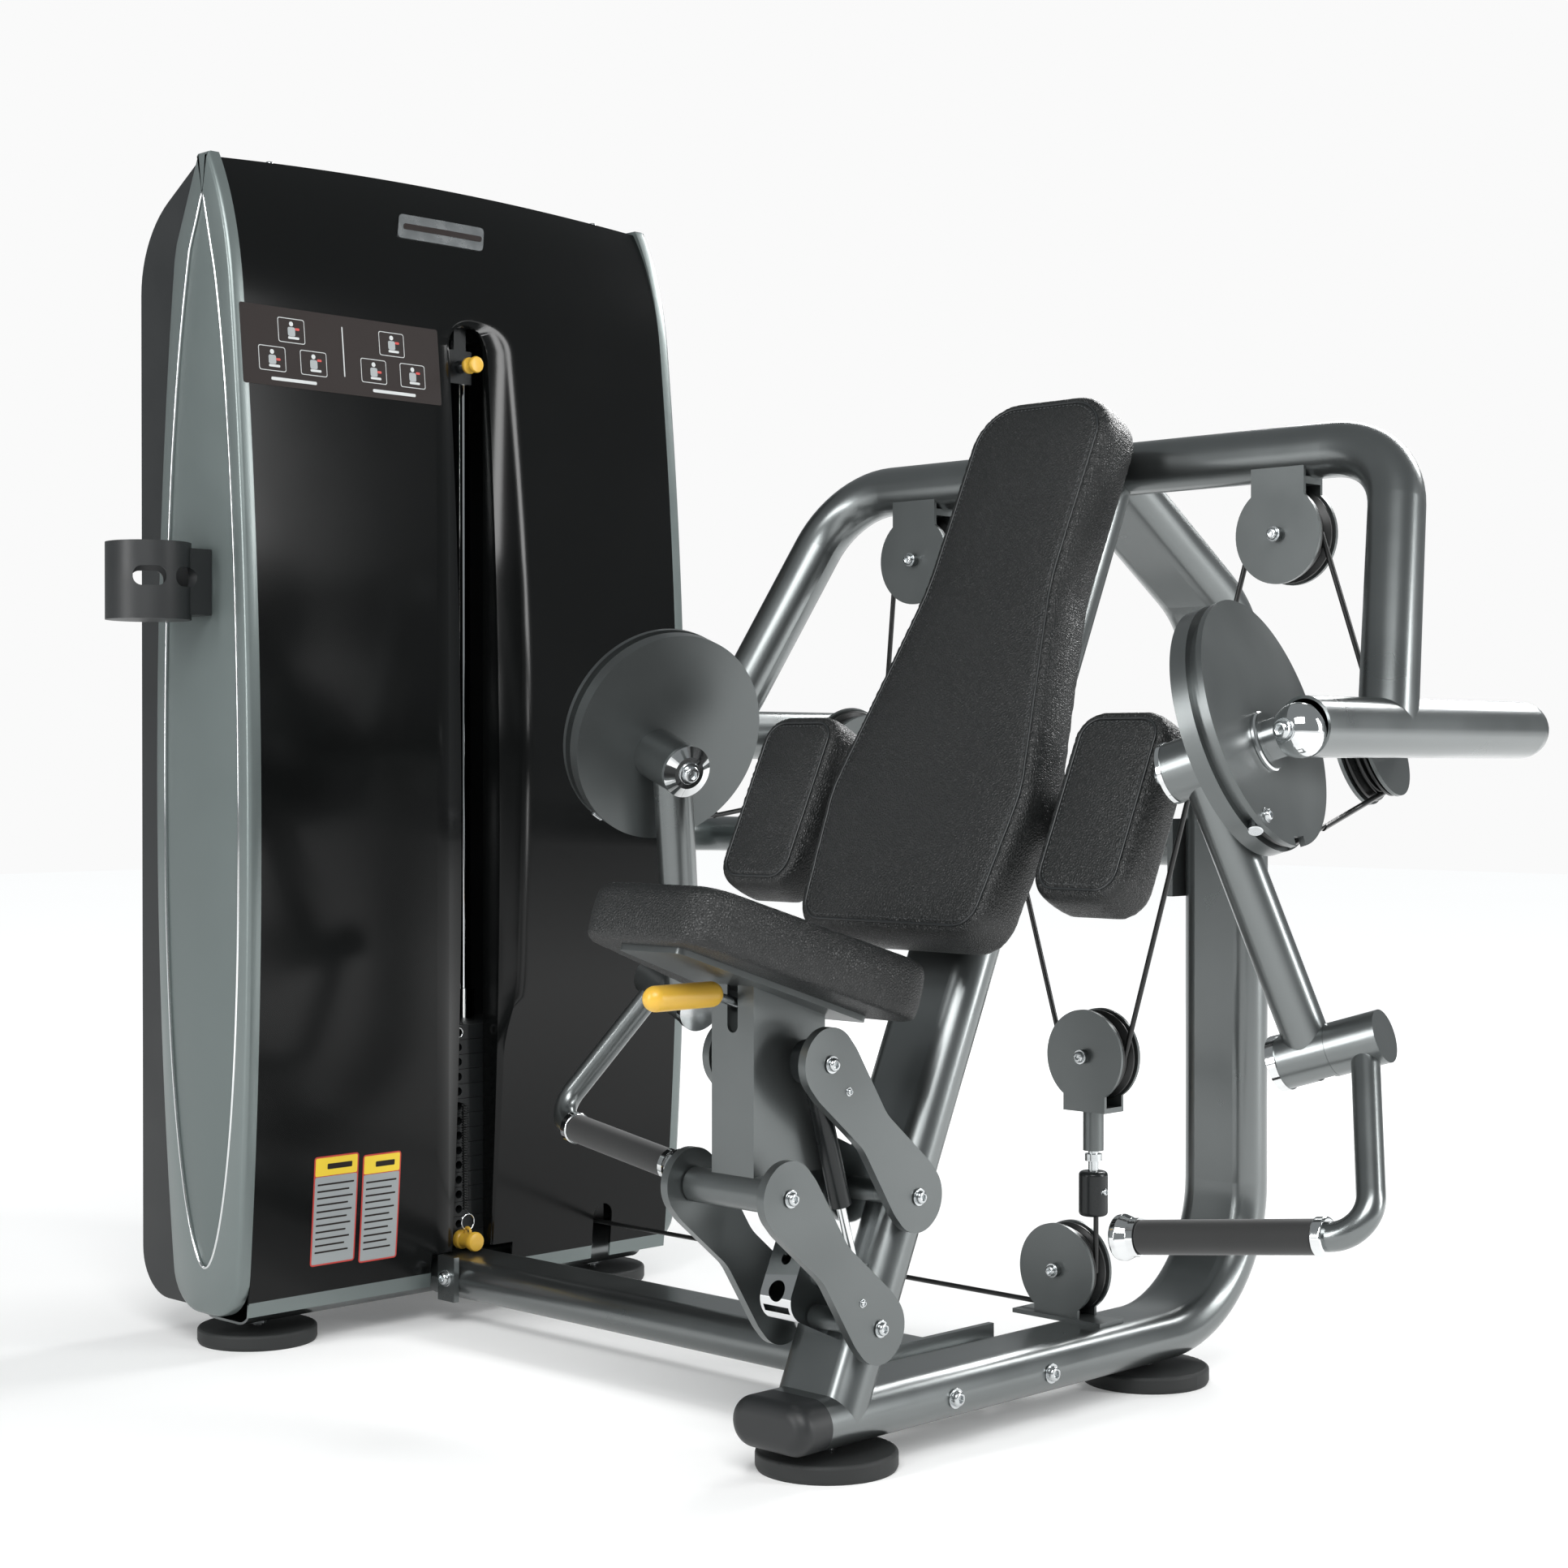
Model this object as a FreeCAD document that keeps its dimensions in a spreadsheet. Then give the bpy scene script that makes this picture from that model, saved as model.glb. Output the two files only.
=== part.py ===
# Seated arm machine with a selectorised weight tower.
# Frame: x = 0 is the mid-plane of the seat and of the floor rail, y = 0 lies over the front
# rail foot, z = 0 is the floor.  The user faces -Y and the weight tower stands on the -X side.
# All lengths are millimetres and all angles are degrees.
import FreeCAD, Part
import math
import os
import Sketcher

Vector = FreeCAD.Vector
X, Y, Z = Vector(1, 0, 0), Vector(0, 1, 0), Vector(0, 0, 1)
ORIGIN = Vector(0, 0, 0)

doc = FreeCAD.newDocument("ArmMachine")

# ---------------------------------------------------------------------------------------
# Driving dimensions
# ---------------------------------------------------------------------------------------
DIMENSIONS = {
    "running_gap": 0.05, "body_gap": 0.3, "tube_wall": 3.0,
    # feet
    "foot_radius": 75, "foot_height": 20, "foot_edge": 4, "stud_radius": 8,
    "nut_radius": 15, "nut_height": 7,
    # floor rail and column, one bent flat-oval tube
    "oval_width": 110, "oval_depth": 54, "rail_height": 57, "rail_front": -48,
    "column_place": 712, "column_knee": 899, "rail_bend": 165, "column_bend": 150,
    "rail_rear_foot": 548, "cap_length": 44, "cap_plug": 24, "cap_edge": 16,
    # inclined post that carries the seat and the pads
    "post_foot_height": 84, "post_lean": 24.4,
    # tube arch over the user's shoulders
    "round_tube": 30, "arch_place": 455, "arch_height": 1070, "arch_corner": 400, "arch_bend": 100,
    "side_offset": 478, "leg_place": 308, "side_height": 768, "side_front": 160, "side_rear": 568,
    # arm pivots
    "pivot_yaw": 11.2, "pivot_pitch": 17.2, "ball_radius": 27, "ball_place": 152.5, "ball_height": 764.4,
    "shaft_radius": 20, "shaft_length": 133, "hub_radius": 30, "hub_start": 137, "hub_length": 66,
    "cap_thick": 10, "cap_radius": 31,
    "cam_radius": 125, "cam_start": 66, "cam_width": 34, "cam_rim": 6, "cam_side": 15, "cam_rise": 20,
    "groove_depth": 9, "groove_width": 11, "boss_radius": 28, "boss_length": 6,
    # arms and handles
    "arm_radius": 23, "arm_attach": 30, "joint_x": 471.5, "joint_y": 224, "joint_z": 454,
    "joint_radius": 26.5, "joint_half": 53, "joint_bore": 17, "ring_radius": 28, "ring_length": 9,
    "handle_radius": 14, "handle_bend": 34, "handle_reach": 56, "grip_radius": 17, "grip_end_radius": 23,
    # seat linkage
    "link_lift": 148, "link_reach": 131, "lower_pivot_y": 1.5, "lower_pivot_z": 155,
    "upper_pivot_y": 60, "upper_pivot_z": 283, "link_end": 37, "link_waist": 26, "link_thick": 10,
    "link_inside": 64, "bar_radius": 18, "pin_radius": 12, "bolt_radius": 6, "head_radius": 9,
    "head_length": 9, "carriage_half": 30, "carriage_front": -137, "carriage_rear": -34,
    "carriage_wall": 4, "carriage_bottom": 318, "slot_width": 15, "slot_bottom": 470,
    # seat
    "seat_tilt": 18.9, "seat_rear_y": 28, "seat_rear_z": 526, "seat_length": 296, "seat_rear_half": 150,
    "seat_front_half": 92, "seat_thick": 62, "seat_edge": 16, "seat_plate": 6,
    "lever_radius": 13, "lever_length": 100, "lever_height": 503, "lever_rod": 5,
    "lever_pivot_y": -97, "lever_pivot_z": 482, "lever_barrel": 9, "lever_barrel_half": 12,
    "lever_pin": 4,
    # gas spring
    "spring_side": 45, "spring_foot_y": -2, "spring_foot_z": 200, "spring_radius": 11, "spring_rod": 5,
    "spring_start": 85, "spring_end": 222, "spring_eye": 14,
    # lock housing in front of the post
    "lock_half": 22, "lock_wall": 4, "lock_depth": 86,
    # pads
    "back_recline": 25.5, "back_foot_y": 76, "back_foot_z": 553, "back_length": 665, "back_half": 150,
    "back_top_half": 102, "back_thick": 64, "back_edge": 18,
    "arm_pad_offset": 230, "arm_pad_y": 156, "arm_pad_z": 694, "arm_pad_length": 220,
    "arm_pad_width": 125, "arm_pad_thick": 60, "arm_pad_edge": 16,
    # pulleys and cables
    "wheel_radius": 54, "wheel_groove": 45, "wheel_width": 22, "plate_radius": 54, "plate_thick": 4,
    "plate_gap": 14, "axle_radius": 8, "cable_radius": 3,
    "upper_wheel_x": 264, "wheel_y": 448, "upper_wheel_z": 981, "float_z": 394,
    "bottom_wheel_x": -41, "bottom_wheel_z": 142,
    "lower_wheel_back": 303, "lower_wheel_drop": 5,
    # weight tower
    "tower_front": -832, "tower_back": -1100, "tower_near": -148, "tower_far": 586,
    "tower_height": 1500, "tower_bottom": 45, "cover_thick": 18, "panel_thick": 5,
    "slot_middle": 218, "slot_half": 32, "slot_top": 1312, "slot_low": 40, "slot_wall": 4,
    "slot_wall_reach": -872, "notch_half": 68, "notch_top": 90, "arch_half": 17, "arch_top": 123,
    "beam_height": 1300, "beam_depth": 30, "upright_half": 20,
    "stack_x": -940, "stack_y": 218, "rod_spread": 52, "rod_radius": 10,
    "plate_length": 250, "plate_depth": 110, "plate_height": 19, "plate_pitch": 19.6,
    "stack_bottom": 90, "plate_count": 15, "selector_rod": 9, "selector_hole": 5.5,
    "collar_radius": 15, "collar_length": 44,
    "cup_radius": 52, "cup_wall": 4, "cup_height": 95, "cup_bottom": 909, "cup_x": -950,
    # links between the frame and the tower
    "bridge_y": 220, "flange_thick": 8, "flange_length": 230, "flange_height": 62,
    "brace_z": 630, "brace_radius": 25, "brace_bend": 70, "brace_flange_width": 52,
    "brace_flange_height": 96,
}

sheet = doc.addObject("Spreadsheet::Sheet", "Sizes")
for row, (alias, number) in enumerate(DIMENSIONS.items(), start=1):
    sheet.set("A%d" % row, alias)
    sheet.set("B%d" % row, str(number))
    sheet.setAlias("B%d" % row, alias)
doc.recompute()


def size(alias):
    """The value of one driving dimension, read from the sheet."""
    return float(sheet.get(alias))


def cell(formula):
    """Write a formula of bare aliases as an expression on the sheet."""
    words = formula.replace("+", " + ").replace("-", " - ").replace("*", " * ").replace("/", " / ").split()
    return " ".join("Sizes." + word if word[0].isalpha() else word for word in words)


# ---------------------------------------------------------------------------------------
# Helpers
# ---------------------------------------------------------------------------------------
nodes = {}


def unit(vector):
    return Vector(vector).normalize()


def placed(origin, x_axis=X, z_axis=Z):
    """Placement whose local z lies along z_axis and whose local x is as near x_axis as it can be."""
    z = unit(z_axis)
    x = unit(x_axis - z * x_axis.dot(z))
    return FreeCAD.Placement(origin, FreeCAD.Rotation(x, z.cross(x), z, "ZXY"))


def keep(name, item):
    """Register an object as a finished sub-part under its node name."""
    item.Label = name
    nodes[name] = item
    return item


def bind(item, **formulas):
    for name, formula in formulas.items():
        item.setExpression(name, cell(formula))
    return item


def cylinder(name, radius, start, end):
    """Round bar from one point to another, its radius bound to the sheet."""
    item = doc.addObject("Part::Cylinder", name)
    item.Height = (end - start).Length
    side = X if abs(unit(end - start).dot(X)) < 0.9 else Y
    item.Placement = placed(start, side, end - start)
    return bind(item, Radius=radius)


def sphere(name, radius, centre):
    item = doc.addObject("Part::Sphere", name)
    item.Placement = FreeCAD.Placement(centre, FreeCAD.Rotation())
    return bind(item, Radius=radius)


def block(name, low, high, placement=None):
    """Box between two corners, given in the frame of the placement."""
    item = doc.addObject("Part::Box", name)
    item.Length, item.Width, item.Height = high.x - low.x, high.y - low.y, high.z - low.z
    place = placement or FreeCAD.Placement()
    item.Placement = place.multiply(FreeCAD.Placement(low, FreeCAD.Rotation()))
    return item


def fuse(name, *items):
    item = doc.addObject("Part::MultiFuse", name)
    item.Shapes = list(items)
    return item


def cut(name, base, *tools):
    item = doc.addObject("Part::Cut", name)
    item.Base = base
    item.Tool = tools[0] if len(tools) == 1 else fuse(name + "_tools", *tools)
    return item


def group(name, *items):
    item = doc.addObject("Part::Compound", name)
    item.Links = list(items)
    return item


def mirrored(name, source):
    """The same piece on the other side of the mid-plane x = 0."""
    item = doc.addObject("Part::Mirroring", name)
    item.Source = source
    item.Normal = X
    item.Base = ORIGIN
    return item


def shaped(name, shape):
    item = doc.addObject("Part::Feature", name)
    item.Shape = shape
    return item


def rounded_edges(points, closed=True):
    """Lines and tangent arcs through (point, corner radius) pairs."""
    count = len(points)
    stops = []
    for index, (corner, radius) in enumerate(points):
        ends_path = not closed and index in (0, count - 1)
        if ends_path or radius <= 0:
            stops.append((corner, None, corner))
            continue
        before = unit(points[index - 1][0] - corner)
        after = unit(points[(index + 1) % count][0] - corner)
        half = before.getAngle(after) / 2
        reach = radius / math.tan(half)
        middle = corner + unit(before + after) * (radius / math.sin(half) - radius)
        stops.append((corner + before * reach, middle, corner + after * reach))
    edges = []
    for index, (start, middle, end) in enumerate(stops):
        if middle is not None:
            edges.append(Part.Arc(start, middle, end))
        if closed or index < count - 1:
            following = stops[(index + 1) % count][0]
            if (following - end).Length > 1e-6:
                edges.append(Part.LineSegment(end, following))
    return edges


def origin_plane(body, role):
    return next(feature for feature in body.Origin.OriginFeatures if feature.Role == role)


def new_sketch(body, name, role):
    sketch = body.newObject("Sketcher::SketchObject", name)
    sketch.AttachmentSupport = (origin_plane(body, role), [""])
    sketch.MapMode = "FlatFace"
    return sketch


def add_circle(sketch, x, y, radius):
    index = sketch.addGeometry(Part.Circle(Vector(x, y, 0), Z, size(radius.split("+")[0])), False)
    constraint = sketch.addConstraint(Sketcher.Constraint("Radius", index, sketch.Geometry[index].Radius))
    sketch.setExpression("Constraints[%d]" % constraint, cell(radius))


def slab(name, points, thickness, placement, holes=(), edge=None, both_edges=False):
    """Flat piece: a rounded outline with round holes, padded along local z.  edge rounds the
    rim of the far face, and of the near face too when both_edges is set."""
    body = doc.addObject("PartDesign::Body", name)
    sketch = new_sketch(body, name + "_outline", "XY_Plane")
    for geometry in rounded_edges([(Vector(x, y, 0), radius) for x, y, radius in points]):
        sketch.addGeometry(geometry, False)
    for x, y, radius in holes:
        add_circle(sketch, x, y, radius)
    pad = body.newObject("PartDesign::Pad", name + "_pad")
    pad.Profile = sketch
    bind(pad, Length=thickness)
    if edge:
        doc.recompute()
        far = pad.Shape.BoundBox.ZMax
        rims = []
        for index, rim in enumerate(pad.Shape.Edges, start=1):
            heights = [vertex.Z for vertex in rim.Vertexes]
            if max(heights) - min(heights) < 0.01 and (both_edges or abs(heights[0] - far) < 0.01):
                rims.append("Edge%d" % index)
        fillet = body.newObject("PartDesign::Fillet", name + "_rim")
        fillet.Base = (pad, rims)
        bind(fillet, Radius=edge)
    body.Placement = placement
    return body


def turned(name, points, placement):
    """Round piece: a profile of (radius, height) points turned about local z."""
    body = doc.addObject("PartDesign::Body", name)
    sketch = new_sketch(body, name + "_profile", "XZ_Plane")
    corners = [(Vector(r, h, 0), rounding) for r, h, rounding in points]
    for geometry in rounded_edges(corners):
        sketch.addGeometry(geometry, False)
    turn = body.newObject("PartDesign::Revolution", name + "_turn")
    turn.Profile = sketch
    turn.ReferenceAxis = (sketch, ["V_Axis"])
    turn.Angle = 360
    body.Placement = placement
    return body


def oval_section(start, wide, deep, half_width, half_depth):
    """Closed flat-oval wire, half_width along wide and half_depth along deep."""
    flat = half_width - half_depth
    if flat < 1e-6:
        return Part.Wire(Part.makeCircle(half_depth, start, wide.cross(deep)))
    right, left = start + wide * flat, start - wide * flat
    up = deep * half_depth
    return Part.Wire([
        Part.LineSegment(left + up, right + up).toShape(),
        Part.Arc(right + up, right + wide * half_depth, right - up).toShape(),
        Part.LineSegment(right - up, left - up).toShape(),
        Part.Arc(left - up, left - wide * half_depth, left + up).toShape()])


def swept(points, wide, half_width, half_depth):
    """Solid bar of flat-oval section along a rounded path.  wide stays across the whole path."""
    spine = Part.Wire([edge.toShape() for edge in rounded_edges(points, closed=False)])
    along = unit(points[1][0] - points[0][0])
    deep = unit(along.cross(wide))
    shell = Part.BRepOffsetAPI.MakePipeShell(spine)
    if half_width > half_depth:
        shell.setBiNormalMode(wide)
    shell.add(oval_section(points[0][0], wide, deep, half_width, half_depth), False, False)
    shell.build()
    shell.makeSolid()
    return shell.shape()


def oval_tube(points, wide, half_width, half_depth):
    """Outer solid and wall of a flat-oval tube."""
    wall = size("tube_wall")
    outer = swept(points, wide, half_width, half_depth)
    inner = swept(points, wide, half_width - wall, half_depth - wall)
    return outer, outer.cut(inner)


def largest(shape):
    """The main solid of a cut, without the offcuts beyond the tool."""
    return max(shape.Solids, key=lambda solid: solid.Volume)


def path(*points):
    return [(Vector(x, y, z), radius) for x, y, z, radius in points]


# ---------------------------------------------------------------------------------------
# Directions and places shared by several pieces
# ---------------------------------------------------------------------------------------
half_oval, thin_oval = size("oval_width") / 2, size("oval_depth") / 2
rail_top = size("rail_height") + thin_oval
rail_low = size("rail_height") - thin_oval
tube_radius = size("round_tube")

yaw, pitch = math.radians(size("pivot_yaw")), math.radians(size("pivot_pitch"))
pivot_axis = Vector(math.cos(yaw) * math.cos(pitch), math.sin(yaw) * math.cos(pitch), math.sin(pitch))
pivot_back = unit(Z.cross(pivot_axis))
ball_centre = Vector(size("side_offset"), size("ball_place"), size("ball_height"))
hub_inner = ball_centre - pivot_axis * size("hub_start")
arm_frame = placed(hub_inner, pivot_back, pivot_axis)


def on_arm(back, rise, along):
    """Point in the right arm's frame: back and rise lie across the pivot axis."""
    return arm_frame.multVec(Vector(back, rise, along))


lean = math.radians(size("post_lean"))
post_way = Vector(0, math.sin(lean), math.cos(lean))
post_foot = Vector(0, 0, size("post_foot_height"))
recline = math.radians(size("back_recline"))
back_up = Vector(0, math.sin(recline), math.cos(recline))
back_front = Vector(0, -math.cos(recline), math.sin(recline))
back_foot = Vector(0, size("back_foot_y"), size("back_foot_z"))
back_frame = placed(back_foot, X, back_front)

# ---------------------------------------------------------------------------------------
# Feet
# ---------------------------------------------------------------------------------------
foot_places = [Vector(0, 0, 0), Vector(0, size("rail_rear_foot"), 0),
               Vector(size("stack_x"), size("tower_near") + 85, 0),
               Vector(size("stack_x"), size("tower_far") - 85, 0)]


def foot_pad(index, place):
    radius, height, edge = size("foot_radius"), size("foot_height"), size("foot_edge")
    profile = [(0, 0, 0), (radius - 2, 0, 0), (radius, 4, 1), (radius, height, edge), (0, height, 0)]
    return turned("foot_pad_%d" % index, profile, placed(place))


def foot_stud(index, place):
    stud = cylinder("stud_%d" % index, "stud_radius", place + Z * size("foot_height"), place + Z * rail_low)
    nut = doc.addObject("Part::Prism", "nut_%d" % index)
    nut.Polygon = 6
    nut.Placement = placed(place + Z * (rail_low - size("nut_height")))
    bind(nut, Circumradius="nut_radius", Height="nut_height")
    return fuse("stud_with_nut_%d" % index, stud, nut)


keep("foot_pads", group("feet", *[foot_pad(i, p) for i, p in enumerate(foot_places)]))
keep("foot_studs", group("studs", *[foot_stud(i, p) for i, p in enumerate(foot_places)]))

# ---------------------------------------------------------------------------------------
# Frame tubes
# ---------------------------------------------------------------------------------------
arch_end = Vector(size("side_offset"), size("leg_place"), size("side_height"))
arch_corner = Vector(size("arch_corner"), size("arch_place"), size("arch_height"))


def flip(point):
    return Vector(-point.x, point.y, point.z)


arch_path = [(flip(arch_end), 0), (flip(arch_corner), size("arch_bend")),
             (arch_corner, size("arch_bend")), (arch_end, 0)]
arch_start_way = unit(flip(arch_corner) - flip(arch_end))
arch_solid = swept(arch_path, unit(arch_start_way.cross(Y)), tube_radius, tube_radius)
arch_bore = swept(arch_path, unit(arch_start_way.cross(Y)), tube_radius - size("tube_wall"),
                  tube_radius - size("tube_wall"))


def side_tube_outer():
    low = Vector(size("side_offset"), size("side_front"), size("side_height"))
    high = Vector(size("side_offset"), size("side_rear"), size("side_height"))
    bar = Part.makeCylinder(tube_radius, (high - low).Length, low, Y)
    return bar.fuse(Part.makeSphere(tube_radius, high)).removeSplitter()


side_outer = side_tube_outer()
side_inner = Part.makeCylinder(tube_radius - size("tube_wall"),
                               size("side_rear") - size("side_front"),
                               Vector(size("side_offset"), size("side_front"), size("side_height")), Y)
both_sides = side_outer.fuse(side_outer.mirror(ORIGIN, X))
keep("arch_tube", shaped("arch", arch_solid.cut(arch_bore).cut(both_sides)))

ball_tool = Part.makeSphere(size("ball_radius"), ball_centre).fuse(
    Part.makeCylinder(size("shaft_radius"), size("shaft_length"), hub_inner + pivot_axis * 4, pivot_axis))
right_side = shaped("side_right", side_outer.cut(side_inner).cut(ball_tool))
keep("side_tubes", group("sides", right_side, mirrored("side_left", right_side)))

post_top = post_foot + post_way * ((size("arch_height") - post_foot.z) / post_way.z)
post_low = post_foot - post_way * 40
post_outer, post_wall = oval_tube([(post_low, 0), (post_top, 0)], X, half_oval, thin_oval)
rail_run = swept(path((0, -100, size("rail_height"), 0), (0, 400, size("rail_height"), 0)),
                 X, half_oval, thin_oval)
keep("seat_post", shaped("post", largest(post_wall.cut(rail_run).cut(arch_solid))))

rail_path = path((0, size("rail_front"), size("rail_height"), 0),
                 (0, size("column_place"), size("rail_height"), size("rail_bend")),
                 (0, size("column_place"), size("column_knee"), size("column_bend")),
                 (0, size("arch_place"), size("arch_height"), 0))
rail_outer, rail_wall = oval_tube(rail_path, X, half_oval, thin_oval)
keep("base_rail", shaped("rail", rail_wall.cut(arch_solid).cut(post_outer.common(
    Part.makeBox(400, 400, 200, Vector(-200, 250, 950))))))


def rail_cap():
    """Moulded cap on the rail's front end, with a plug inside the tube."""
    front, wall = size("rail_front"), size("tube_wall") + size("body_gap")
    height = size("rail_height")
    cap = swept(path((0, front - size("cap_length"), height, 0), (0, front, height, 0)),
                X, half_oval, thin_oval)
    rim = [edge for edge in cap.Edges if max(v.Y for v in edge.Vertexes) < front - 1]
    cap = cap.makeFillet(size("cap_edge"), rim)
    plug = swept(path((0, front - 1, height, 0), (0, front + size("cap_plug"), height, 0)),
                 X, half_oval - wall, thin_oval - wall)
    return cap.fuse(plug)


keep("rail_end_cap", shaped("cap", rail_cap()))


def bridge():
    """Flat-oval tube from the rail to the tower, with a flange on the rail's side."""
    start = -half_oval - size("flange_thick")
    end = size("stack_x") + half_oval
    place, height = size("bridge_y"), size("rail_height")
    outer, wall = oval_tube(path((start + 1, place, height, 0), (end, place, height, 0)), Y,
                            half_oval, thin_oval - 1)
    length = size("flange_length")
    flange = Part.makeBox(size("flange_thick"), length, size("flange_height"),
                          Vector(start, place - length / 2, rail_low))
    return wall.fuse(flange)


bracket_low = Vector(size("tower_front") - 20, size("bridge_y") - half_oval - 8, rail_low + 2)
bracket = block("bracket", bracket_low, bracket_low + Vector(34, 8, 58))
keep("bridge_tube", group("bridge_with_bracket", shaped("bridge", bridge()), bracket))

# ---------------------------------------------------------------------------------------
# Rear brace: from the column, along the tower's far side and into its upright
# ---------------------------------------------------------------------------------------
upright_half = size("upright_half")
upright_far = size("tower_far") - size("cover_thick") - 42
brace_start = -half_oval - size("flange_thick")
brace_y = size("column_place") - 10
brace_path = path((brace_start + 1, brace_y, size("brace_z"), 0),
                  (size("stack_x"), brace_y, size("brace_z"), size("brace_bend")),
                  (size("stack_x"), upright_far + upright_half, size("brace_z"), 0))
brace_outer, brace_wall = oval_tube(brace_path, Z, size("brace_radius"), size("brace_radius"))
brace_wide, brace_tall = size("brace_flange_width"), size("brace_flange_height")
brace_flange = Part.makeBox(size("flange_thick"), brace_wide, brace_tall,
                            Vector(brace_start, brace_y - brace_wide / 2, size("brace_z") - 62))
keep("rear_brace", shaped("brace", brace_wall.fuse(brace_flange)))

# ---------------------------------------------------------------------------------------
# Arm pivots, fixed to the frame
# ---------------------------------------------------------------------------------------
shaft = cylinder("shaft_bar", "shaft_radius", hub_inner + pivot_axis * 4, ball_centre)
ball = sphere("shaft_ball", "ball_radius", ball_centre)
right_shaft = fuse("shaft_right", shaft, ball)
keep("pivot_shafts", group("shafts", right_shaft, mirrored("shaft_left", right_shaft)))

# ---------------------------------------------------------------------------------------
# Right arm and its mirror image
# ---------------------------------------------------------------------------------------
cam_centre = (size("cam_side"), size("cam_rise"))
shaft_bore = size("shaft_radius") + size("running_gap")


def arm_tube():
    """Hub sleeve, arm tube and the inner half of the handle joint, welded together."""
    hub = Part.makeCylinder(size("hub_radius"), size("hub_length"), hub_inner, pivot_axis)
    joint = Vector(size("joint_x"), size("joint_y"), size("joint_z"))
    half = size("joint_half")
    sleeve = Part.makeCylinder(size("joint_radius"), half - size("body_gap"), joint - pivot_axis * half,
                               pivot_axis)
    top = hub_inner + pivot_axis * size("arm_attach")
    bottom = joint - pivot_axis * (half * 0.45)
    bar = Part.makeCylinder(size("arm_radius"), (bottom - top).Length, top, bottom - top)
    bore = Part.makeCylinder(shaft_bore, 300, hub_inner - pivot_axis * 100, pivot_axis)
    pin_bore = Part.makeCylinder(size("joint_bore") + size("running_gap"), half * 2,
                                 joint - pivot_axis * (half - 8), pivot_axis)
    window = Part.makeBox(34, 26, 18, Vector(-17, size("joint_radius") - 14, -9))
    window.Placement = placed(joint - pivot_axis * (half * 0.25), pivot_back, pivot_axis).multiply(
        FreeCAD.Placement(ORIGIN, FreeCAD.Rotation(Z, 200)))
    return hub.fuse(bar).fuse(sleeve).cut(bore).cut(pin_bore).cut(window)


def cam():
    """Eccentric cable cam: a thin front flange, a groove and a rear boss."""
    radius, start, width = size("cam_radius"), size("cam_start"), size("cam_width")
    rim, groove, depth = size("cam_rim"), size("groove_width"), size("groove_depth")
    body = Part.makeCylinder(radius, width, Vector(cam_centre[0], cam_centre[1], start), Z)
    low = start + width - rim - groove
    ring = Part.makeCylinder(radius + 5, groove, Vector(cam_centre[0], cam_centre[1], low), Z)
    ring = ring.cut(Part.makeCylinder(radius - depth, groove, Vector(cam_centre[0], cam_centre[1], low), Z))
    boss = Part.makeCylinder(size("boss_radius"), size("boss_length"), Vector(0, 0, start + width), Z)
    bore = Part.makeCylinder(shaft_bore, 400, Vector(0, 0, -100), Z)
    notch = Part.makeBox(24, 14, width * 0.55,
                         Vector(cam_centre[0] - 12, cam_centre[1] - radius - 4, start + width * 0.45))
    shape = body.cut(ring).fuse(boss).cut(bore).cut(notch)
    shape.Placement = arm_frame
    return shape


def hub_cap():
    """Chrome cap on the hub's inner end."""
    thick, radius = size("cap_thick"), size("cap_radius")
    profile = [(0, -thick, 0), (radius * 0.62, -thick, 0), (radius, -thick * 0.45, 0), (radius, 0, 0), (0, 0, 0)]
    return turned("hub_cap", profile, arm_frame)


joint_centre = Vector(size("joint_x"), size("joint_y"), size("joint_z"))


def joint_ring():
    """Chrome ring that closes the joint's inner end."""
    start = joint_centre - pivot_axis * (size("joint_half") + size("ring_length"))
    return cylinder("joint_ring", "ring_radius", start, joint_centre - pivot_axis * size("joint_half"))


grip_outer = Vector(524, 114, 291)
grip_inner = Vector(337, 92, 270)
grip_way = unit(grip_inner - grip_outer)
handle_corner = grip_outer - grip_way * size("handle_reach")
handle_top = joint_centre + pivot_axis * 32


def handle():
    """Knuckle that turns on the joint's pin, and the bent tube that ends inside the grip."""
    half = size("joint_half")
    knuckle = Part.makeCylinder(size("joint_radius"), half, joint_centre, pivot_axis)
    pin = Part.makeCylinder(size("joint_bore"), half, joint_centre - pivot_axis * (half - 12), pivot_axis)
    radius = size("handle_radius")
    bend = [(handle_top, 0), (handle_corner, size("handle_bend")), (grip_inner, 0)]
    along = unit(handle_corner - handle_top)
    bar = swept(bend, unit(along.cross(grip_way)), radius, radius)
    return knuckle.fuse(pin).fuse(bar)


def grip():
    """Rubber sleeve over the handle's straight end."""
    length = (grip_inner - grip_outer).Length
    inside, outside = size("handle_radius") + size("running_gap"), size("grip_radius")
    profile = [(inside, 0, 0), (outside, 0, 2), (outside, length, 2), (inside, length, 0)]
    return turned("grip_sleeve", profile, placed(grip_outer, Z, grip_way))


def grip_end():
    """Flared chrome end of the grip, and the chrome collar at its other end."""
    flare, inside = size("grip_end_radius"), size("handle_radius")
    profile = [(0, 0, 0), (size("grip_radius") + 2, 0, 0), (size("grip_radius") + 2, 8, 2),
               (flare, 18, 2), (flare - 1, 26, 4), (0, 30, 0)]
    ball_end = turned("grip_flare", profile, placed(grip_inner, Z, grip_way))
    ring = [(inside, -12, 0), (size("grip_radius") + 2, -12, 2), (size("grip_radius") + 2, 0, 2), (inside, 0, 0)]
    return group("grip_chrome", ball_end, turned("grip_collar", ring, placed(grip_outer, Z, grip_way)))


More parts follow.
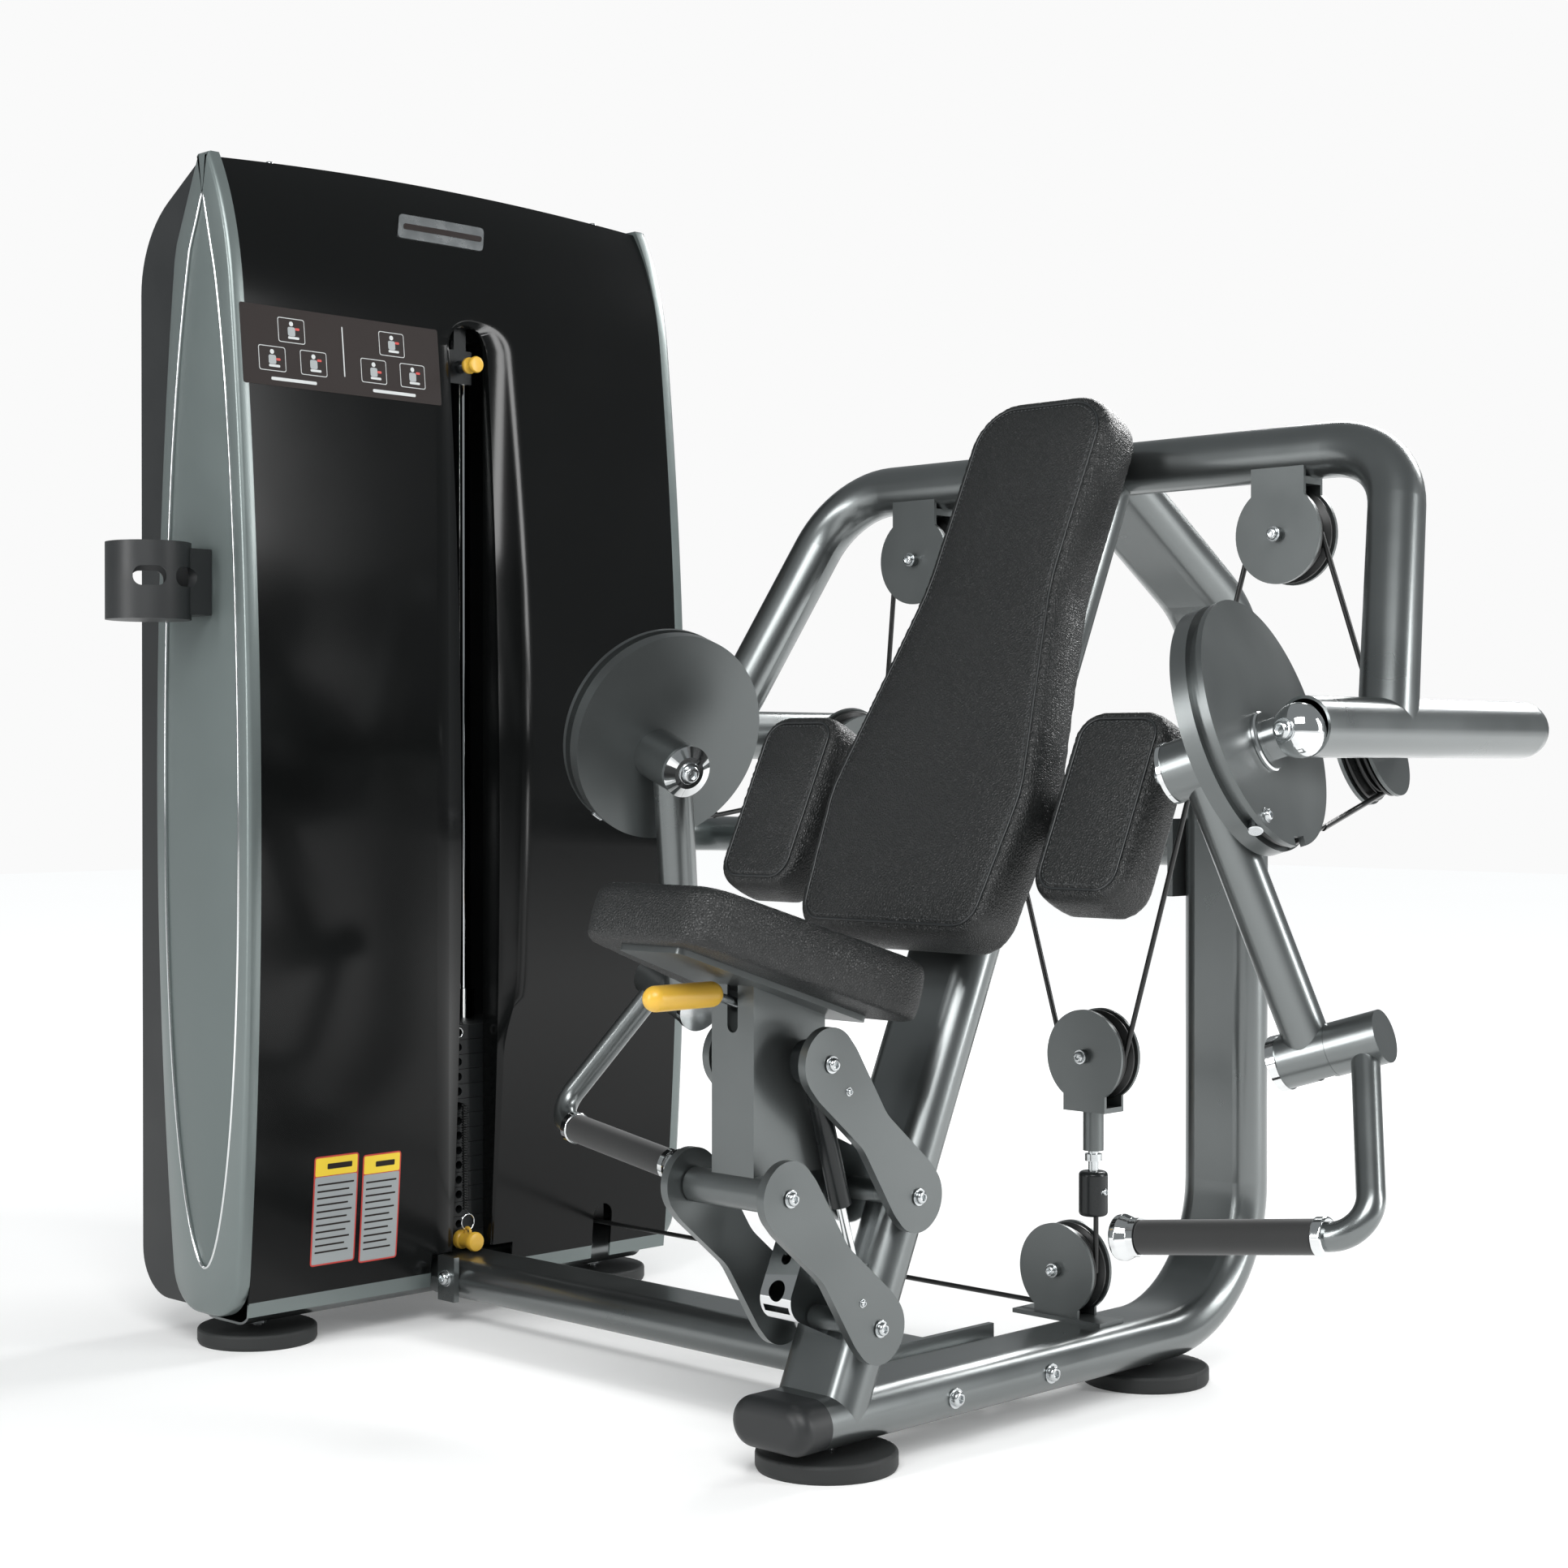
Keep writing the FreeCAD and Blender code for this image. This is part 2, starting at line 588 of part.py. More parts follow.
right_pieces = {
    "arm_tube": group("arm_right", shaped("arm_weldment", arm_tube()), hub_cap(), joint_ring()),
    "cam": shaped("cam_right", cam()),
    "handle": group("handle_right", shaped("handle_bar", handle()), grip_end()),
    "grip": grip(),
}
for piece_name, piece in right_pieces.items():
    keep("right_" + piece_name, piece)
    keep("left_" + piece_name, mirrored("mirror_" + piece_name, piece))

# ---------------------------------------------------------------------------------------
# Seat linkage: two pairs of parallel links, the carriage, its lever and its gas spring
# ---------------------------------------------------------------------------------------
link_x = size("link_inside")
link_outside = link_x + size("link_thick")
lower_rear = Vector(0, size("lower_pivot_y"), size("lower_pivot_z"))
upper_rear = Vector(0, size("upper_pivot_y"), size("upper_pivot_z"))
link_way = Vector(0, -size("link_reach"), size("link_lift"))
lower_front, upper_front = lower_rear + link_way, upper_rear + link_way
link_length = link_way.Length
side_x = X * (link_x - 2)


def link_plate(name, rear):
    """Waisted plate between two pivots, on the +X side."""
    end, waist = size("link_end"), size("link_waist")
    middle = link_length / 2
    outline = [(-end, -end, end * 0.98), (end * 0.4, -end, 60), (middle, -waist + 2, 60),
               (link_length - end * 0.4, -end, 60), (link_length + end, -end, end * 0.98),
               (link_length + end, end, end * 0.98), (link_length - end * 0.4, end, 60),
               (middle, waist - 2, 60), (end * 0.4, end, 60), (-end, end, end * 0.98)]
    place = placed(rear + X * link_x, link_way, X)
    return slab(name, outline, "link_thick", place,
                holes=[(0, 0, "bolt_radius+running_gap"), (link_length, 0, "bolt_radius+running_gap")])


def link_pair(name, rear):
    right = link_plate(name + "_right", rear)
    return keep(name, group(name + "_pair", right, mirrored(name + "_left", right)))


link_pair("upper_links", upper_rear)
link_pair("lower_links", lower_rear)


def pivot_bolts(name, *centres):
    """Shoulder bolts through the links' ends, on both sides."""
    bolts = []
    for index, centre in enumerate(centres):
        shank = cylinder("%s_shank_%d" % (name, index), "bolt_radius", centre + side_x,
                         centre + X * (link_outside + 1))
        head = cylinder("%s_head_%d" % (name, index), "head_radius", centre + X * (link_outside + 1),
                        centre + X * (link_outside + 1 + size("head_length")))
        right = fuse("%s_bolt_%d" % (name, index), shank, head)
        bolts += [right, mirrored("%s_bolt_%d_left" % (name, index), right)]
    return group(name + "_group", *bolts)


keep("carriage_bolts", pivot_bolts("carriage_bolt", lower_front, upper_front))
post_bolts = pivot_bolts("post_bolt", lower_rear, upper_rear)


def post_lugs():
    """Pivot bars on the post's front face and the pin that the gas spring stands on."""
    bars = []
    for centre in (lower_rear, upper_rear):
        bar = Part.makeCylinder(size("pin_radius"), 2 * side_x.Length, centre - side_x, X)
        bars.append(bar.cut(post_outer))
    foot = Vector(0, size("spring_foot_y"), size("spring_foot_z"))
    pin = Part.makeCylinder(6, 26, foot + X * (size("spring_side") - 18), X)
    ear = Part.makeBox(8, 70, 24, Vector(size("spring_side") - 20, foot.y - 12, foot.z - 12))
    return Part.makeCompound(bars + [ear.cut(post_outer).Solids[0].fuse(pin)])


lugs = post_lugs()
keep("post_lugs", shaped("lugs", lugs))

tilt = math.radians(size("seat_tilt"))
seat_forward = Vector(0, -math.cos(tilt), math.sin(tilt))
seat_up = Vector(0, math.sin(tilt), math.cos(tilt))
seat_rear = Vector(0, size("seat_rear_y"), size("seat_rear_z"))
seat_frame = FreeCAD.Placement(seat_rear, FreeCAD.Rotation(
    FreeCAD.Matrix(-1, 0, 0, 0, 0, seat_forward.y, seat_up.y, 0, 0, seat_forward.z, seat_up.z, 0, 0, 0, 0, 1)))


def carriage():
    """Channel that the seat stands on: slotted front plate, two sides and the two pivot bars."""
    half, wall = size("carriage_half"), size("carriage_wall")
    front, rear, low = size("carriage_front"), size("carriage_rear"), size("carriage_bottom")
    channel = Part.makeBox(2 * half, rear - front, 260, Vector(-half, front, low))
    hollow = Part.makeBox(2 * (half - wall), rear - front, 300, Vector(-half + wall, front + wall, low - 10))
    under = Part.makeBox(400, 900, 300, Vector(-200, -300, 0 - size("seat_thick") - size("seat_plate")))
    under.Placement = seat_frame
    width = size("slot_width")
    slot = Part.makeBox(width, wall * 3, 100, Vector(-width / 2, front - wall, size("slot_bottom")))
    slot = slot.fuse(Part.makeCylinder(width / 2, wall * 3, Vector(0, front - wall, size("slot_bottom")), Y))
    bars = Part.makeCylinder(size("bar_radius"), 2 * side_x.Length, lower_front - side_x, X)
    top_bar = Part.makeCylinder(size("pin_radius"), 2 * side_x.Length, upper_front - side_x, X)
    lever_pin = Part.makeCylinder(size("lever_pin"), 2 * half,
                                  Vector(-half, size("lever_pivot_y"), size("lever_pivot_z")), X)
    return channel.cut(hollow).cut(under).cut(slot).fuse(bars).fuse(top_bar).fuse(lever_pin)


seat_outline = [(-size("seat_rear_half"), 0, 42), (size("seat_rear_half"), 0, 42),
                (size("seat_front_half"), size("seat_length"), 46),
                (-size("seat_front_half"), size("seat_length"), 46)]
seat_place = seat_frame.multiply(FreeCAD.Placement(Vector(0, 0, -size("seat_thick")), FreeCAD.Rotation()))
keep("seat_pad", slab("seat_cushion", seat_outline, "seat_thick", seat_place, edge="seat_edge",
                      both_edges=True))
plate_place = seat_frame.multiply(FreeCAD.Placement(
    Vector(0, 0, -size("seat_thick") - size("seat_plate")), FreeCAD.Rotation()))
underplate = slab("seat_underplate", [(-70, 20, 8), (70, 20, 8), (45, 272, 8), (-45, 272, 8)],
                  "seat_plate", plate_place)
keep("seat_carriage", group("carriage_with_plate", shaped("carriage", carriage()), underplate))


def lever():
    """Capsule handle on a rod that passes through the carriage's slot."""
    radius, length = size("lever_radius"), size("lever_length")
    start = Vector(0, size("carriage_front") - 18, size("lever_height"))
    body = Part.makeCylinder(radius, length - 2 * radius, start - Y * radius, -Y)
    body = body.fuse(Part.makeSphere(radius, start - Y * radius))
    body = body.fuse(Part.makeSphere(radius, start - Y * (length - radius)))
    hinge = Vector(0, size("lever_pivot_y"), size("lever_pivot_z"))
    way = unit(start - Y * radius - hinge)
    rod = Part.makeCylinder(size("lever_rod"), (start - Y * radius - hinge).Length, hinge, way)
    half = size("lever_barrel_half")
    barrel = Part.makeCylinder(size("lever_barrel"), 2 * half, hinge - X * half, X)
    bore = Part.makeCylinder(size("lever_pin") + size("running_gap"), 4 * half, hinge - X * 2 * half, X)
    return body.removeSplitter().fuse(rod).fuse(barrel).cut(bore)


keep("seat_lever", shaped("lever_handle", lever()))

spring_foot = Vector(size("spring_side"), size("spring_foot_y"), size("spring_foot_z"))
spring_head = Vector(size("spring_side"), upper_front.y, upper_front.z)
spring_way = unit(spring_head - spring_foot)
eye_half = 7


def spring_rod():
    """Piston rod of the gas spring and the eye at its lower end."""
    eye = Part.makeCylinder(size("spring_eye"), 2 * eye_half, spring_foot - X * eye_half, X)
    rod = Part.makeCylinder(size("spring_rod"), 100, spring_foot, spring_way)
    hole = Part.makeCylinder(6 + size("running_gap"), 60, spring_foot - X * 30, X)
    return eye.fuse(rod).cut(hole)


def spring_cylinder():
    """Pressure cylinder of the gas spring and the loose eye round the upper pivot bar."""
    start, end = size("spring_start"), size("spring_end")
    tube = Part.makeCylinder(size("spring_radius"), end - start, spring_foot + spring_way * start, spring_way)
    bore = Part.makeCylinder(size("spring_rod") + 0.1, 95, spring_foot + spring_way * (start - 1), spring_way)
    eye = Part.makeCylinder(size("pin_radius") + 11, 2 * eye_half, spring_head - X * eye_half, X)
    hole = Part.makeCylinder(size("pin_radius") + 5, 60, spring_head - X * 30, X)
    return tube.cut(bore).fuse(eye).cut(hole)


keep("gas_spring_rod", shaped("piston_rod", spring_rod()))
keep("gas_spring_cylinder", shaped("pressure_cylinder", spring_cylinder()))


def lock_housing():
    """Polished channel in front of the post: its face carries the row of lock holes."""
    half, wall, depth = size("lock_half"), size("lock_wall"), size("lock_depth")
    place = placed(post_foot + post_way * 46, X, Vector(0, -math.cos(lean), math.sin(lean)))
    outer = Part.makeBox(2 * half, 190, depth, Vector(-half, 0, thin_oval))
    round_edges = [edge for edge in outer.Edges
                   if abs(edge.BoundBox.YMax) < 0.01 and edge.BoundBox.ZMin > depth
                   and edge.BoundBox.XLength > 1]
    outer = outer.makeFillet(24, round_edges)
    inner = Part.makeBox(2 * (half - wall), 240, depth - wall, Vector(wall - half, wall, thin_oval - 1))
    wedge = Part.makeBox(100, 260, 160, Vector(-50, 0, 0))
    wedge.Placement = FreeCAD.Placement(Vector(0, 118, thin_oval + depth), FreeCAD.Rotation(X, 30))
    shape = outer.cut(inner).cut(wedge)
    for step in range(4):
        hole = Part.makeCylinder(6.5, 40, Vector(0, 58 + step * 22, depth), Z)
        shape = shape.cut(hole)
    shape = shape.cut(Part.makeCylinder(11, 40, Vector(0, 24, depth), Z))
    shape.Placement = place
    return largest(shape.cut(lugs))


keep("lock_housing", shaped("lock_channel", lock_housing()))

# ---------------------------------------------------------------------------------------
# Pads and what holds them
# ---------------------------------------------------------------------------------------
back_length, back_half, back_top = size("back_length"), size("back_half"), size("back_top_half")
back_outline = [(-back_half + 16, 0, 42), (back_half - 16, 0, 42), (back_half, 170, 160),
                (back_top, 420, 300), (back_top, back_length, 62), (-back_top, back_length, 62),
                (-back_top, 420, 300), (-back_half, 170, 160)]
back_place = back_frame.multiply(FreeCAD.Placement(Vector(0, 0, -size("back_thick")), FreeCAD.Rotation()))
keep("backrest_pad", slab("back_cushion", back_outline, "back_thick", back_place, edge="back_edge",
                          both_edges=True))

pad_centre = Vector(size("arm_pad_offset"), size("arm_pad_y"), size("arm_pad_z"))
pad_place = placed(pad_centre - back_front * size("arm_pad_thick"), X, back_front)
pad_x, pad_y = size("arm_pad_width") / 2, size("arm_pad_length") / 2
pad_outline = [(-pad_x, -pad_y, 36), (pad_x, -pad_y, 36), (pad_x, pad_y, 36), (-pad_x, pad_y, 36)]
right_pad = keep("right_side_pad", slab("side_cushion", pad_outline, "arm_pad_thick", pad_place,
                                        edge="arm_pad_edge", both_edges=True))
keep("left_side_pad", mirrored("side_cushion_left", right_pad))
pad_height = (pad_centre - back_foot).dot(back_up)
pad_back = (pad_centre - back_foot).dot(back_front) - size("arm_pad_thick")


def pad_brackets():
    """Crossbar behind the side pads and an upper plate behind the backrest, both on the post."""
    thick = size("back_thick")
    reach = size("arm_pad_offset") + 20
    bar = Part.makeBox(2 * reach, 50, 22, Vector(-reach, pad_height - 25, pad_back - 22))
    plate = Part.makeBox(120, 60, 24, Vector(-60, 470, -thick - 24))
    lower_foot = Part.makeBox(60, 40, 40, Vector(-30, pad_height - 20, -thick - 45))
    upper_foot = Part.makeBox(60, 50, 40, Vector(-30, 475, -thick - 45))
    shapes = [bar.fuse(lower_foot), plate.fuse(upper_foot)]
    for shape in shapes:
        shape.Placement = back_frame
    return Part.makeCompound([shape.cut(post_outer).Solids[0] for shape in shapes])


keep("pad_brackets", shaped("brackets", pad_brackets()))

# ---------------------------------------------------------------------------------------
# Pulleys, their brackets and the cables
# ---------------------------------------------------------------------------------------
plate_near, plate_far = size("plate_gap"), size("plate_gap") + size("plate_thick")
wheel_y = size("wheel_y")
upper_wheel = Vector(size("upper_wheel_x"), wheel_y, size("upper_wheel_z"))
float_wheel = Vector(0, wheel_y, size("float_z"))
bottom_wheel = Vector(size("bottom_wheel_x"), wheel_y, size("bottom_wheel_z"))
groove_place = size("cam_start") + size("cam_width") - size("cam_rim") - size("groove_width") / 2
lower_wheel = on_arm(size("lower_wheel_back"), -size("lower_wheel_drop"), groove_place)


def wheel(name, centre, axis):
    """Grooved pulley wheel with a bore for its axle."""
    radius, groove, half = size("wheel_radius") - 2, size("wheel_groove") - size("cable_radius"), size("wheel_width") / 2
    bore = size("axle_radius") + size("running_gap")
    profile = [(bore, -half, 0), (radius, -half, 1), (radius, -half + 3, 1), (groove, -3, 2), (groove, 3, 2),
               (radius, half - 3, 1), (radius, half, 1), (bore, half, 0)]
    side = X if abs(axis.dot(X)) < 0.5 else Y
    return turned(name, profile, placed(centre, side, axis))


def side_plates(centre, axis, extra):
    """Two round plates with the axle and its heads between them; extra joins them to a support."""
    solids = []
    for sign in (1, -1):
        base = centre + axis * (sign * plate_near)
        solids.append(Part.makeCylinder(size("plate_radius"), size("plate_thick"), base, axis * sign))
    axle = Part.makeCylinder(size("axle_radius"), 2 * plate_far + 14, centre - axis * (plate_far + 7), axis)
    shape = solids[0].fuse(solids[1]).fuse(axle)
    for piece in extra:
        shape = shape.fuse(piece)
    return shape


def upper_bracket():
    """Hanger of an upper pulley: its plates reach up to the arch tube."""
    neck = 34
    height = size("arch_height") - upper_wheel.z
    extra = []
    for sign in (1, -1):
        low = wheel_y + (plate_near if sign > 0 else -plate_far)
        extra.append(Part.makeBox(2 * neck, size("plate_thick"), height,
                                  Vector(upper_wheel.x - neck, low, upper_wheel.z)))
    top = Part.makeBox(2 * neck, 2 * plate_far, 8, Vector(upper_wheel.x - neck, wheel_y - plate_far,
                                                         size("arch_height") - tube_radius - 6))
    return side_plates(upper_wheel, Y, extra + [top]).cut(arch_solid)


def lower_bracket():
    """Holder of a lower pulley: its outer plate carries an arm that is welded to the side tube."""
    frame = FreeCAD.Placement(lower_wheel, arm_frame.Rotation)
    arm = Part.makeBox(56, 12, 110, Vector(-28, -10, plate_near))
    arm.Placement = frame
    web = Part.makeBox(56, 34, 2 * plate_far, Vector(-28, size("plate_radius") - 8, -plate_far))
    web.Placement = frame
    top = web.cut(Part.makeCylinder(size("wheel_radius") + 2, 200, lower_wheel - pivot_axis * 100, pivot_axis))
    solid = side_plates(lower_wheel, pivot_axis, [arm, top])
    return largest(solid.cut(side_outer))


right_upper = shaped("upper_bracket_right", upper_bracket())
right_lower = shaped("lower_bracket_right", lower_bracket())
keep("pulley_brackets", group("brackets_all", right_upper, mirrored("upper_bracket_left", right_upper),
                              right_lower, mirrored("lower_bracket_left", right_lower)))
for wheel_name, centre, axis in (("upper_pulley", upper_wheel, Y), ("lower_pulley", lower_wheel, pivot_axis)):
    right_wheel = keep("right_" + wheel_name, wheel(wheel_name + "_wheel", centre, axis))
    keep("left_" + wheel_name, mirrored(wheel_name + "_wheel_left", right_wheel))
keep("floating_pulley", wheel("float_wheel", float_wheel, Y))
keep("bottom_pulley", wheel("bottom_wheel", bottom_wheel, Y))


def floating_block():
    """Carrier of the floating pulley, with the threaded adjuster and the cable's end fitting."""
    drop = 64
    yoke = Part.makeBox(60, 2 * plate_far, 6, Vector(-30, wheel_y - plate_far, float_wheel.z - drop))
    cheeks = [Part.makeBox(60, size("plate_thick"), drop,
                           Vector(-30, wheel_y + (plate_near if sign > 0 else -plate_far), float_wheel.z - drop))
              for sign in (1, -1)]
    base = float_wheel - Z * drop
    sleeve = Part.makeCylinder(12, 46, base, -Z)
    screw = Part.makeCylinder(6, 74, base, -Z)
    nut = Part.makeCylinder(10, 8, base - Z * 50, -Z)
    body = side_plates(float_wheel, Y, cheeks + [yoke, sleeve, screw, nut])
    fitting = Part.makeCylinder(17, 52, base - Z * 70, -Z)
    return body.fuse(fitting.makeFillet(5, fitting.Edges))


keep("floating_block", shaped("float_carrier", floating_block()))


def bottom_bracket():
    """Bracket of the bottom pulley, bolted on top of the rail."""
    low = rail_top
    cheeks = [Part.makeBox(64, size("plate_thick"), bottom_wheel.z - low,
                           Vector(bottom_wheel.x - 32, wheel_y + (plate_near if sign > 0 else -plate_far), low))
              for sign in (1, -1)]
    base = Part.makeBox(130, 2 * plate_far + 8, 5, Vector(bottom_wheel.x - 62, wheel_y - plate_far - 4, low))
    return side_plates(bottom_wheel, Y, cheeks + [base])


keep("bottom_pulley_bracket", shaped("bottom_carrier", bottom_bracket()))

# The two arms' cable: from each cam round the lower and upper pulleys to the floating pulley.
cable = size("cable_radius")
groove = size("wheel_groove")


def tangent_points(first, first_radius, second, second_radius, normal, side):
    """Ends of a taut strand between two wheels; side picks which side of them it runs on."""
    way = second - first
    distance = way.Length
    way = unit(way)
    across = normal.cross(way) * side
    turn = math.asin((first_radius - second_radius) / distance)
    out = across * math.cos(turn) + way * math.sin(turn)
    return first + out * first_radius, second + out * second_radius


def strand(start, end):
    return Part.makeCylinder(cable, (end - start).Length, start, end - start)


cam_middle = on_arm(cam_centre[0], cam_centre[1], groove_place)
cam_groove = size("cam_radius") - size("groove_depth") + cable
upper_inner = upper_wheel - X * groove
cam_strand = tangent_points(cam_middle, cam_groove + 2, lower_wheel, groove, pivot_axis, -1)
outer_strand_top = upper_wheel + X * groove
lower_out = unit((outer_strand_top - lower_wheel).cross(pivot_axis))
strand_reach = groove + 2
outer_strand_low = lower_wheel + lower_out * (strand_reach if lower_out.y > 0 else -strand_reach)


def arm_cable():
    """Straight strands of one arm's cable that stay where they are: the first starts outside the
    circle that the eccentric cam sweeps."""
    offset = math.hypot(size("cam_side"), size("cam_rise"))
    swept_radius = offset + size("cam_radius") - size("groove_depth") + 1
    swept_disc = Part.makeCylinder(swept_radius, 60, on_arm(0, 0, groove_place - 30), pivot_axis)
    first = strand(cam_strand[0], cam_strand[1]).cut(swept_disc)
    second = strand(outer_strand_low, outer_strand_top)
    return Part.makeCompound([first, second])


right_cable = shaped("cable_right", arm_cable())
keep("arm_cables", group("cables", right_cable, mirrored("cable_left", right_cable)))
float_side = float_wheel + X * groove
right_v = shaped("v_right", strand(float_side, upper_inner))
keep("v_strands", group("v_pair", right_v, mirrored("v_left", right_v)))
drop_x = bottom_wheel.x + groove
fitting_low = size("float_z") - 64 - 70 - 52
keep("drop_cable", cylinder("drop_strand", "cable_radius", Vector(drop_x, wheel_y, bottom_wheel.z),
                            Vector(drop_x, wheel_y, fitting_low)))
run_height = bottom_wheel.z - groove

# ---------------------------------------------------------------------------------------
# Weight tower
# ---------------------------------------------------------------------------------------
near, far = size("tower_near"), size("tower_far")
thick = size("cover_thick")
top, bottom = size("tower_height"), size("tower_bottom")
front, back = size("tower_front"), size("tower_back")


def front_curve(shift):
    """The tower's bowed front edge, moved back by shift, from its foot to its top."""
    return (Vector(front - 30 - shift, bottom, 0), Vector(front - shift, 720, 0),
            Vector(front - 46 - shift, 1400, 0), Vector(front - 93 - shift, top, 0))


def upright(y, shape):
    """Stand a shape drawn in x and z on the plane at y."""
    shape.Placement = FreeCAD.Placement(Vector(0, y, 0), FreeCAD.Rotation(X, 90))
    return shape


def extruded(edges, y_low, y_high):
    wire = Part.Wire([edge.toShape() for edge in edges])
    face = Part.Face(wire)
    return upright(y_high, face.extrude(Vector(0, 0, y_high - y_low)))


def side_cover_shape(y_low, y_high):
    """Leaf-shaped cover between the bowed front and the rear shell."""
    foot, middle, shoulder, tip = front_curve(0)
    rear_foot, rear_middle = Vector(front - 165, bottom, 0), Vector(front - 208, 750, 0)
    rear_shoulder = Vector(front - 164, 1379, 0)
    edges = [Part.Arc(foot, middle, shoulder), Part.LineSegment(shoulder, tip),
             Part.LineSegment(tip, tip - X * 18), Part.LineSegment(tip - X * 18, rear_shoulder),
             Part.Arc(rear_shoulder, rear_middle, rear_foot), Part.LineSegment(rear_foot, foot)]
    return extruded(edges, y_low, y_high)


tool_back, tool_depth = front - 150, 200


def round_topped(y, half, high):
    """Cutting tool of an opening with a round top, from below the panel's foot."""
    low = size("slot_low")
    box = Part.makeBox(tool_depth, 2 * half, high - half - low, Vector(tool_back, y - half, low))
    return box.fuse(Part.makeCylinder(half, tool_depth, Vector(tool_back, y, high - half), X))


def panel_shape():
    """Bowed front panel with the selector slot, the bridge's notch and the cable's arch."""
    panel = size("panel_thick")
    foot, middle, shoulder, tip = front_curve(0)
    foot_in, middle_in, shoulder_in, tip_in = front_curve(panel)
    edges = [Part.Arc(foot, middle, shoulder), Part.LineSegment(shoulder, tip),
             Part.LineSegment(tip, tip_in), Part.LineSegment(tip_in, shoulder_in),
             Part.Arc(shoulder_in, middle_in, foot_in), Part.LineSegment(foot_in, foot)]
    gap = size("body_gap")
    shape = extruded(edges, near + thick + gap, far - thick - gap)
    slot = round_topped(size("slot_middle"), size("slot_half"), size("slot_top"))
    arch = round_topped(wheel_y, size("arch_half"), size("arch_top"))
    notch_half, low = size("notch_half"), size("slot_low")
    notch = Part.makeBox(tool_depth, 2 * notch_half, size("notch_top") - low,
                         Vector(tool_back, size("bridge_y") - notch_half, low))
    return shape.cut(slot).cut(notch).cut(arch)


brace_hole = Part.makeCylinder(size("brace_radius") + 2, 120,
                               Vector(size("stack_x"), far - 80, size("brace_z")), Y)


def rear_shell():
    """Open-fronted rear casing behind the covers and the front panel."""
    wall = 5
    low = bottom + 3
    rim = [(Vector(front - 73, low, 0), 0), (Vector(back, low, 0), 60), (Vector(back, top - 90, 0), 130),
           (Vector(front - 130, top - 8, 0), 20), (Vector(front - 112, top - 8, 0), 0),
           (Vector(front - 73, 1350, 0), 60)]
    outer = extruded(rounded_edges(rim), near + thick + 0.3, far - thick - 0.3)
    core = [(Vector(front + 100, low - 40, 0), 0), (Vector(back + wall, low - 40, 0), 0),
            (Vector(back + wall, top - 90 - wall, 0), 126), (Vector(front - 132, top - 8 - wall, 0), 18),
            (Vector(front + 100, top - 8 - wall, 0), 0)]
    inner = extruded(rounded_edges(core), near + thick + wall, far - thick - wall)
    return outer.cut(inner).cut(brace_hole)


keep("tower_near_cover", shaped("cover_near", side_cover_shape(near, near + thick)))
keep("tower_far_cover", shaped("cover_far", side_cover_shape(far - thick, far).cut(brace_hole)))
keep("tower_rear_shell", shaped("shell", rear_shell()))


def slot_wall():
    """Leaf-shaped inner wall that closes the slot's far side behind the bowed panel."""
    foot, middle, shoulder, tip = front_curve(size("panel_thick"))
    reach = size("slot_wall_reach")
    leaf = extruded([Part.Arc(foot, middle, shoulder), Part.LineSegment(shoulder, foot)],
                    size("slot_middle") + size("slot_half"),
                    size("slot_middle") + size("slot_half") + size("slot_wall"))
    depth = -reach + front
    keep_box = Part.makeBox(depth, 400, size("slot_top") - size("notch_top"),
                            Vector(reach, 0, size("notch_top")))
    return largest(leaf.common(keep_box))


keep("tower_front_panel", group("panel_with_wall", shaped("panel", panel_shape()),
                                shaped("slot_side", slot_wall())))

# Inner steelwork: a base beam on the two feet, uprights, a top beam and the guide rods
stack_x, stack_y = size("stack_x"), size("stack_y")
base_low = Vector(stack_x, near + thick + 20, size("rail_height"))
base_high = Vector(stack_x, far - thick - 20, size("rail_height"))
base_outer, base_wall = oval_tube([(base_low, 0), (base_high, 0)], X, half_oval, thin_oval)
beam_height = size("beam_height")
upright_near = near + thick + 42
posts = [block("upright_%d" % i, Vector(stack_x - upright_half, y - upright_half, rail_top),
               Vector(stack_x + upright_half, y + upright_half, beam_height))
         for i, y in enumerate((upright_near, upright_far))]
uprights = fuse("uprights_solid", *posts)
brace_end_tool = shaped("brace_end", brace_outer)
keep("tower_uprights", cut("uprights_drilled", uprights, brace_end_tool))
beam_top = beam_height + size("beam_depth")
top_beam_bar = block("top_beam_bar", Vector(stack_x - upright_half, upright_near - upright_half, beam_height),
                     Vector(stack_x + upright_half, upright_far + upright_half, beam_top))
cable_hole = cylinder("cable_hole", "selector_rod", Vector(stack_x, stack_y, beam_height - 5),
                      Vector(stack_x, stack_y, beam_top + 5))
top_beam = cut("top_beam", top_beam_bar, cable_hole)
spread = size("rod_spread")
rods = [cylinder("guide_%d" % i, "rod_radius", Vector(stack_x, stack_y + side * spread, rail_top),
                 Vector(stack_x, stack_y + side * spread, beam_height)) for i, side in enumerate((-1, 1))]


def buffer(index, side):
    """Rubber ring under the weight plates."""
    inner = size("rod_radius") + size("running_gap")
    profile = [(inner, 0, 0), (24, 0, 0), (24, size("stack_bottom") - rail_top, 1),
               (inner, size("stack_bottom") - rail_top, 0)]
    return turned("buffer_%d" % index, profile, placed(Vector(stack_x, stack_y + side * spread, rail_top)))


keep("guide_rods", group("rods", *rods, *[buffer(i, side) for i, side in enumerate((-1, 1))]))
pitch_z, plate_z = size("plate_pitch"), size("plate_height")
count = int(size("plate_count"))
front_face = stack_x + size("plate_depth") / 2


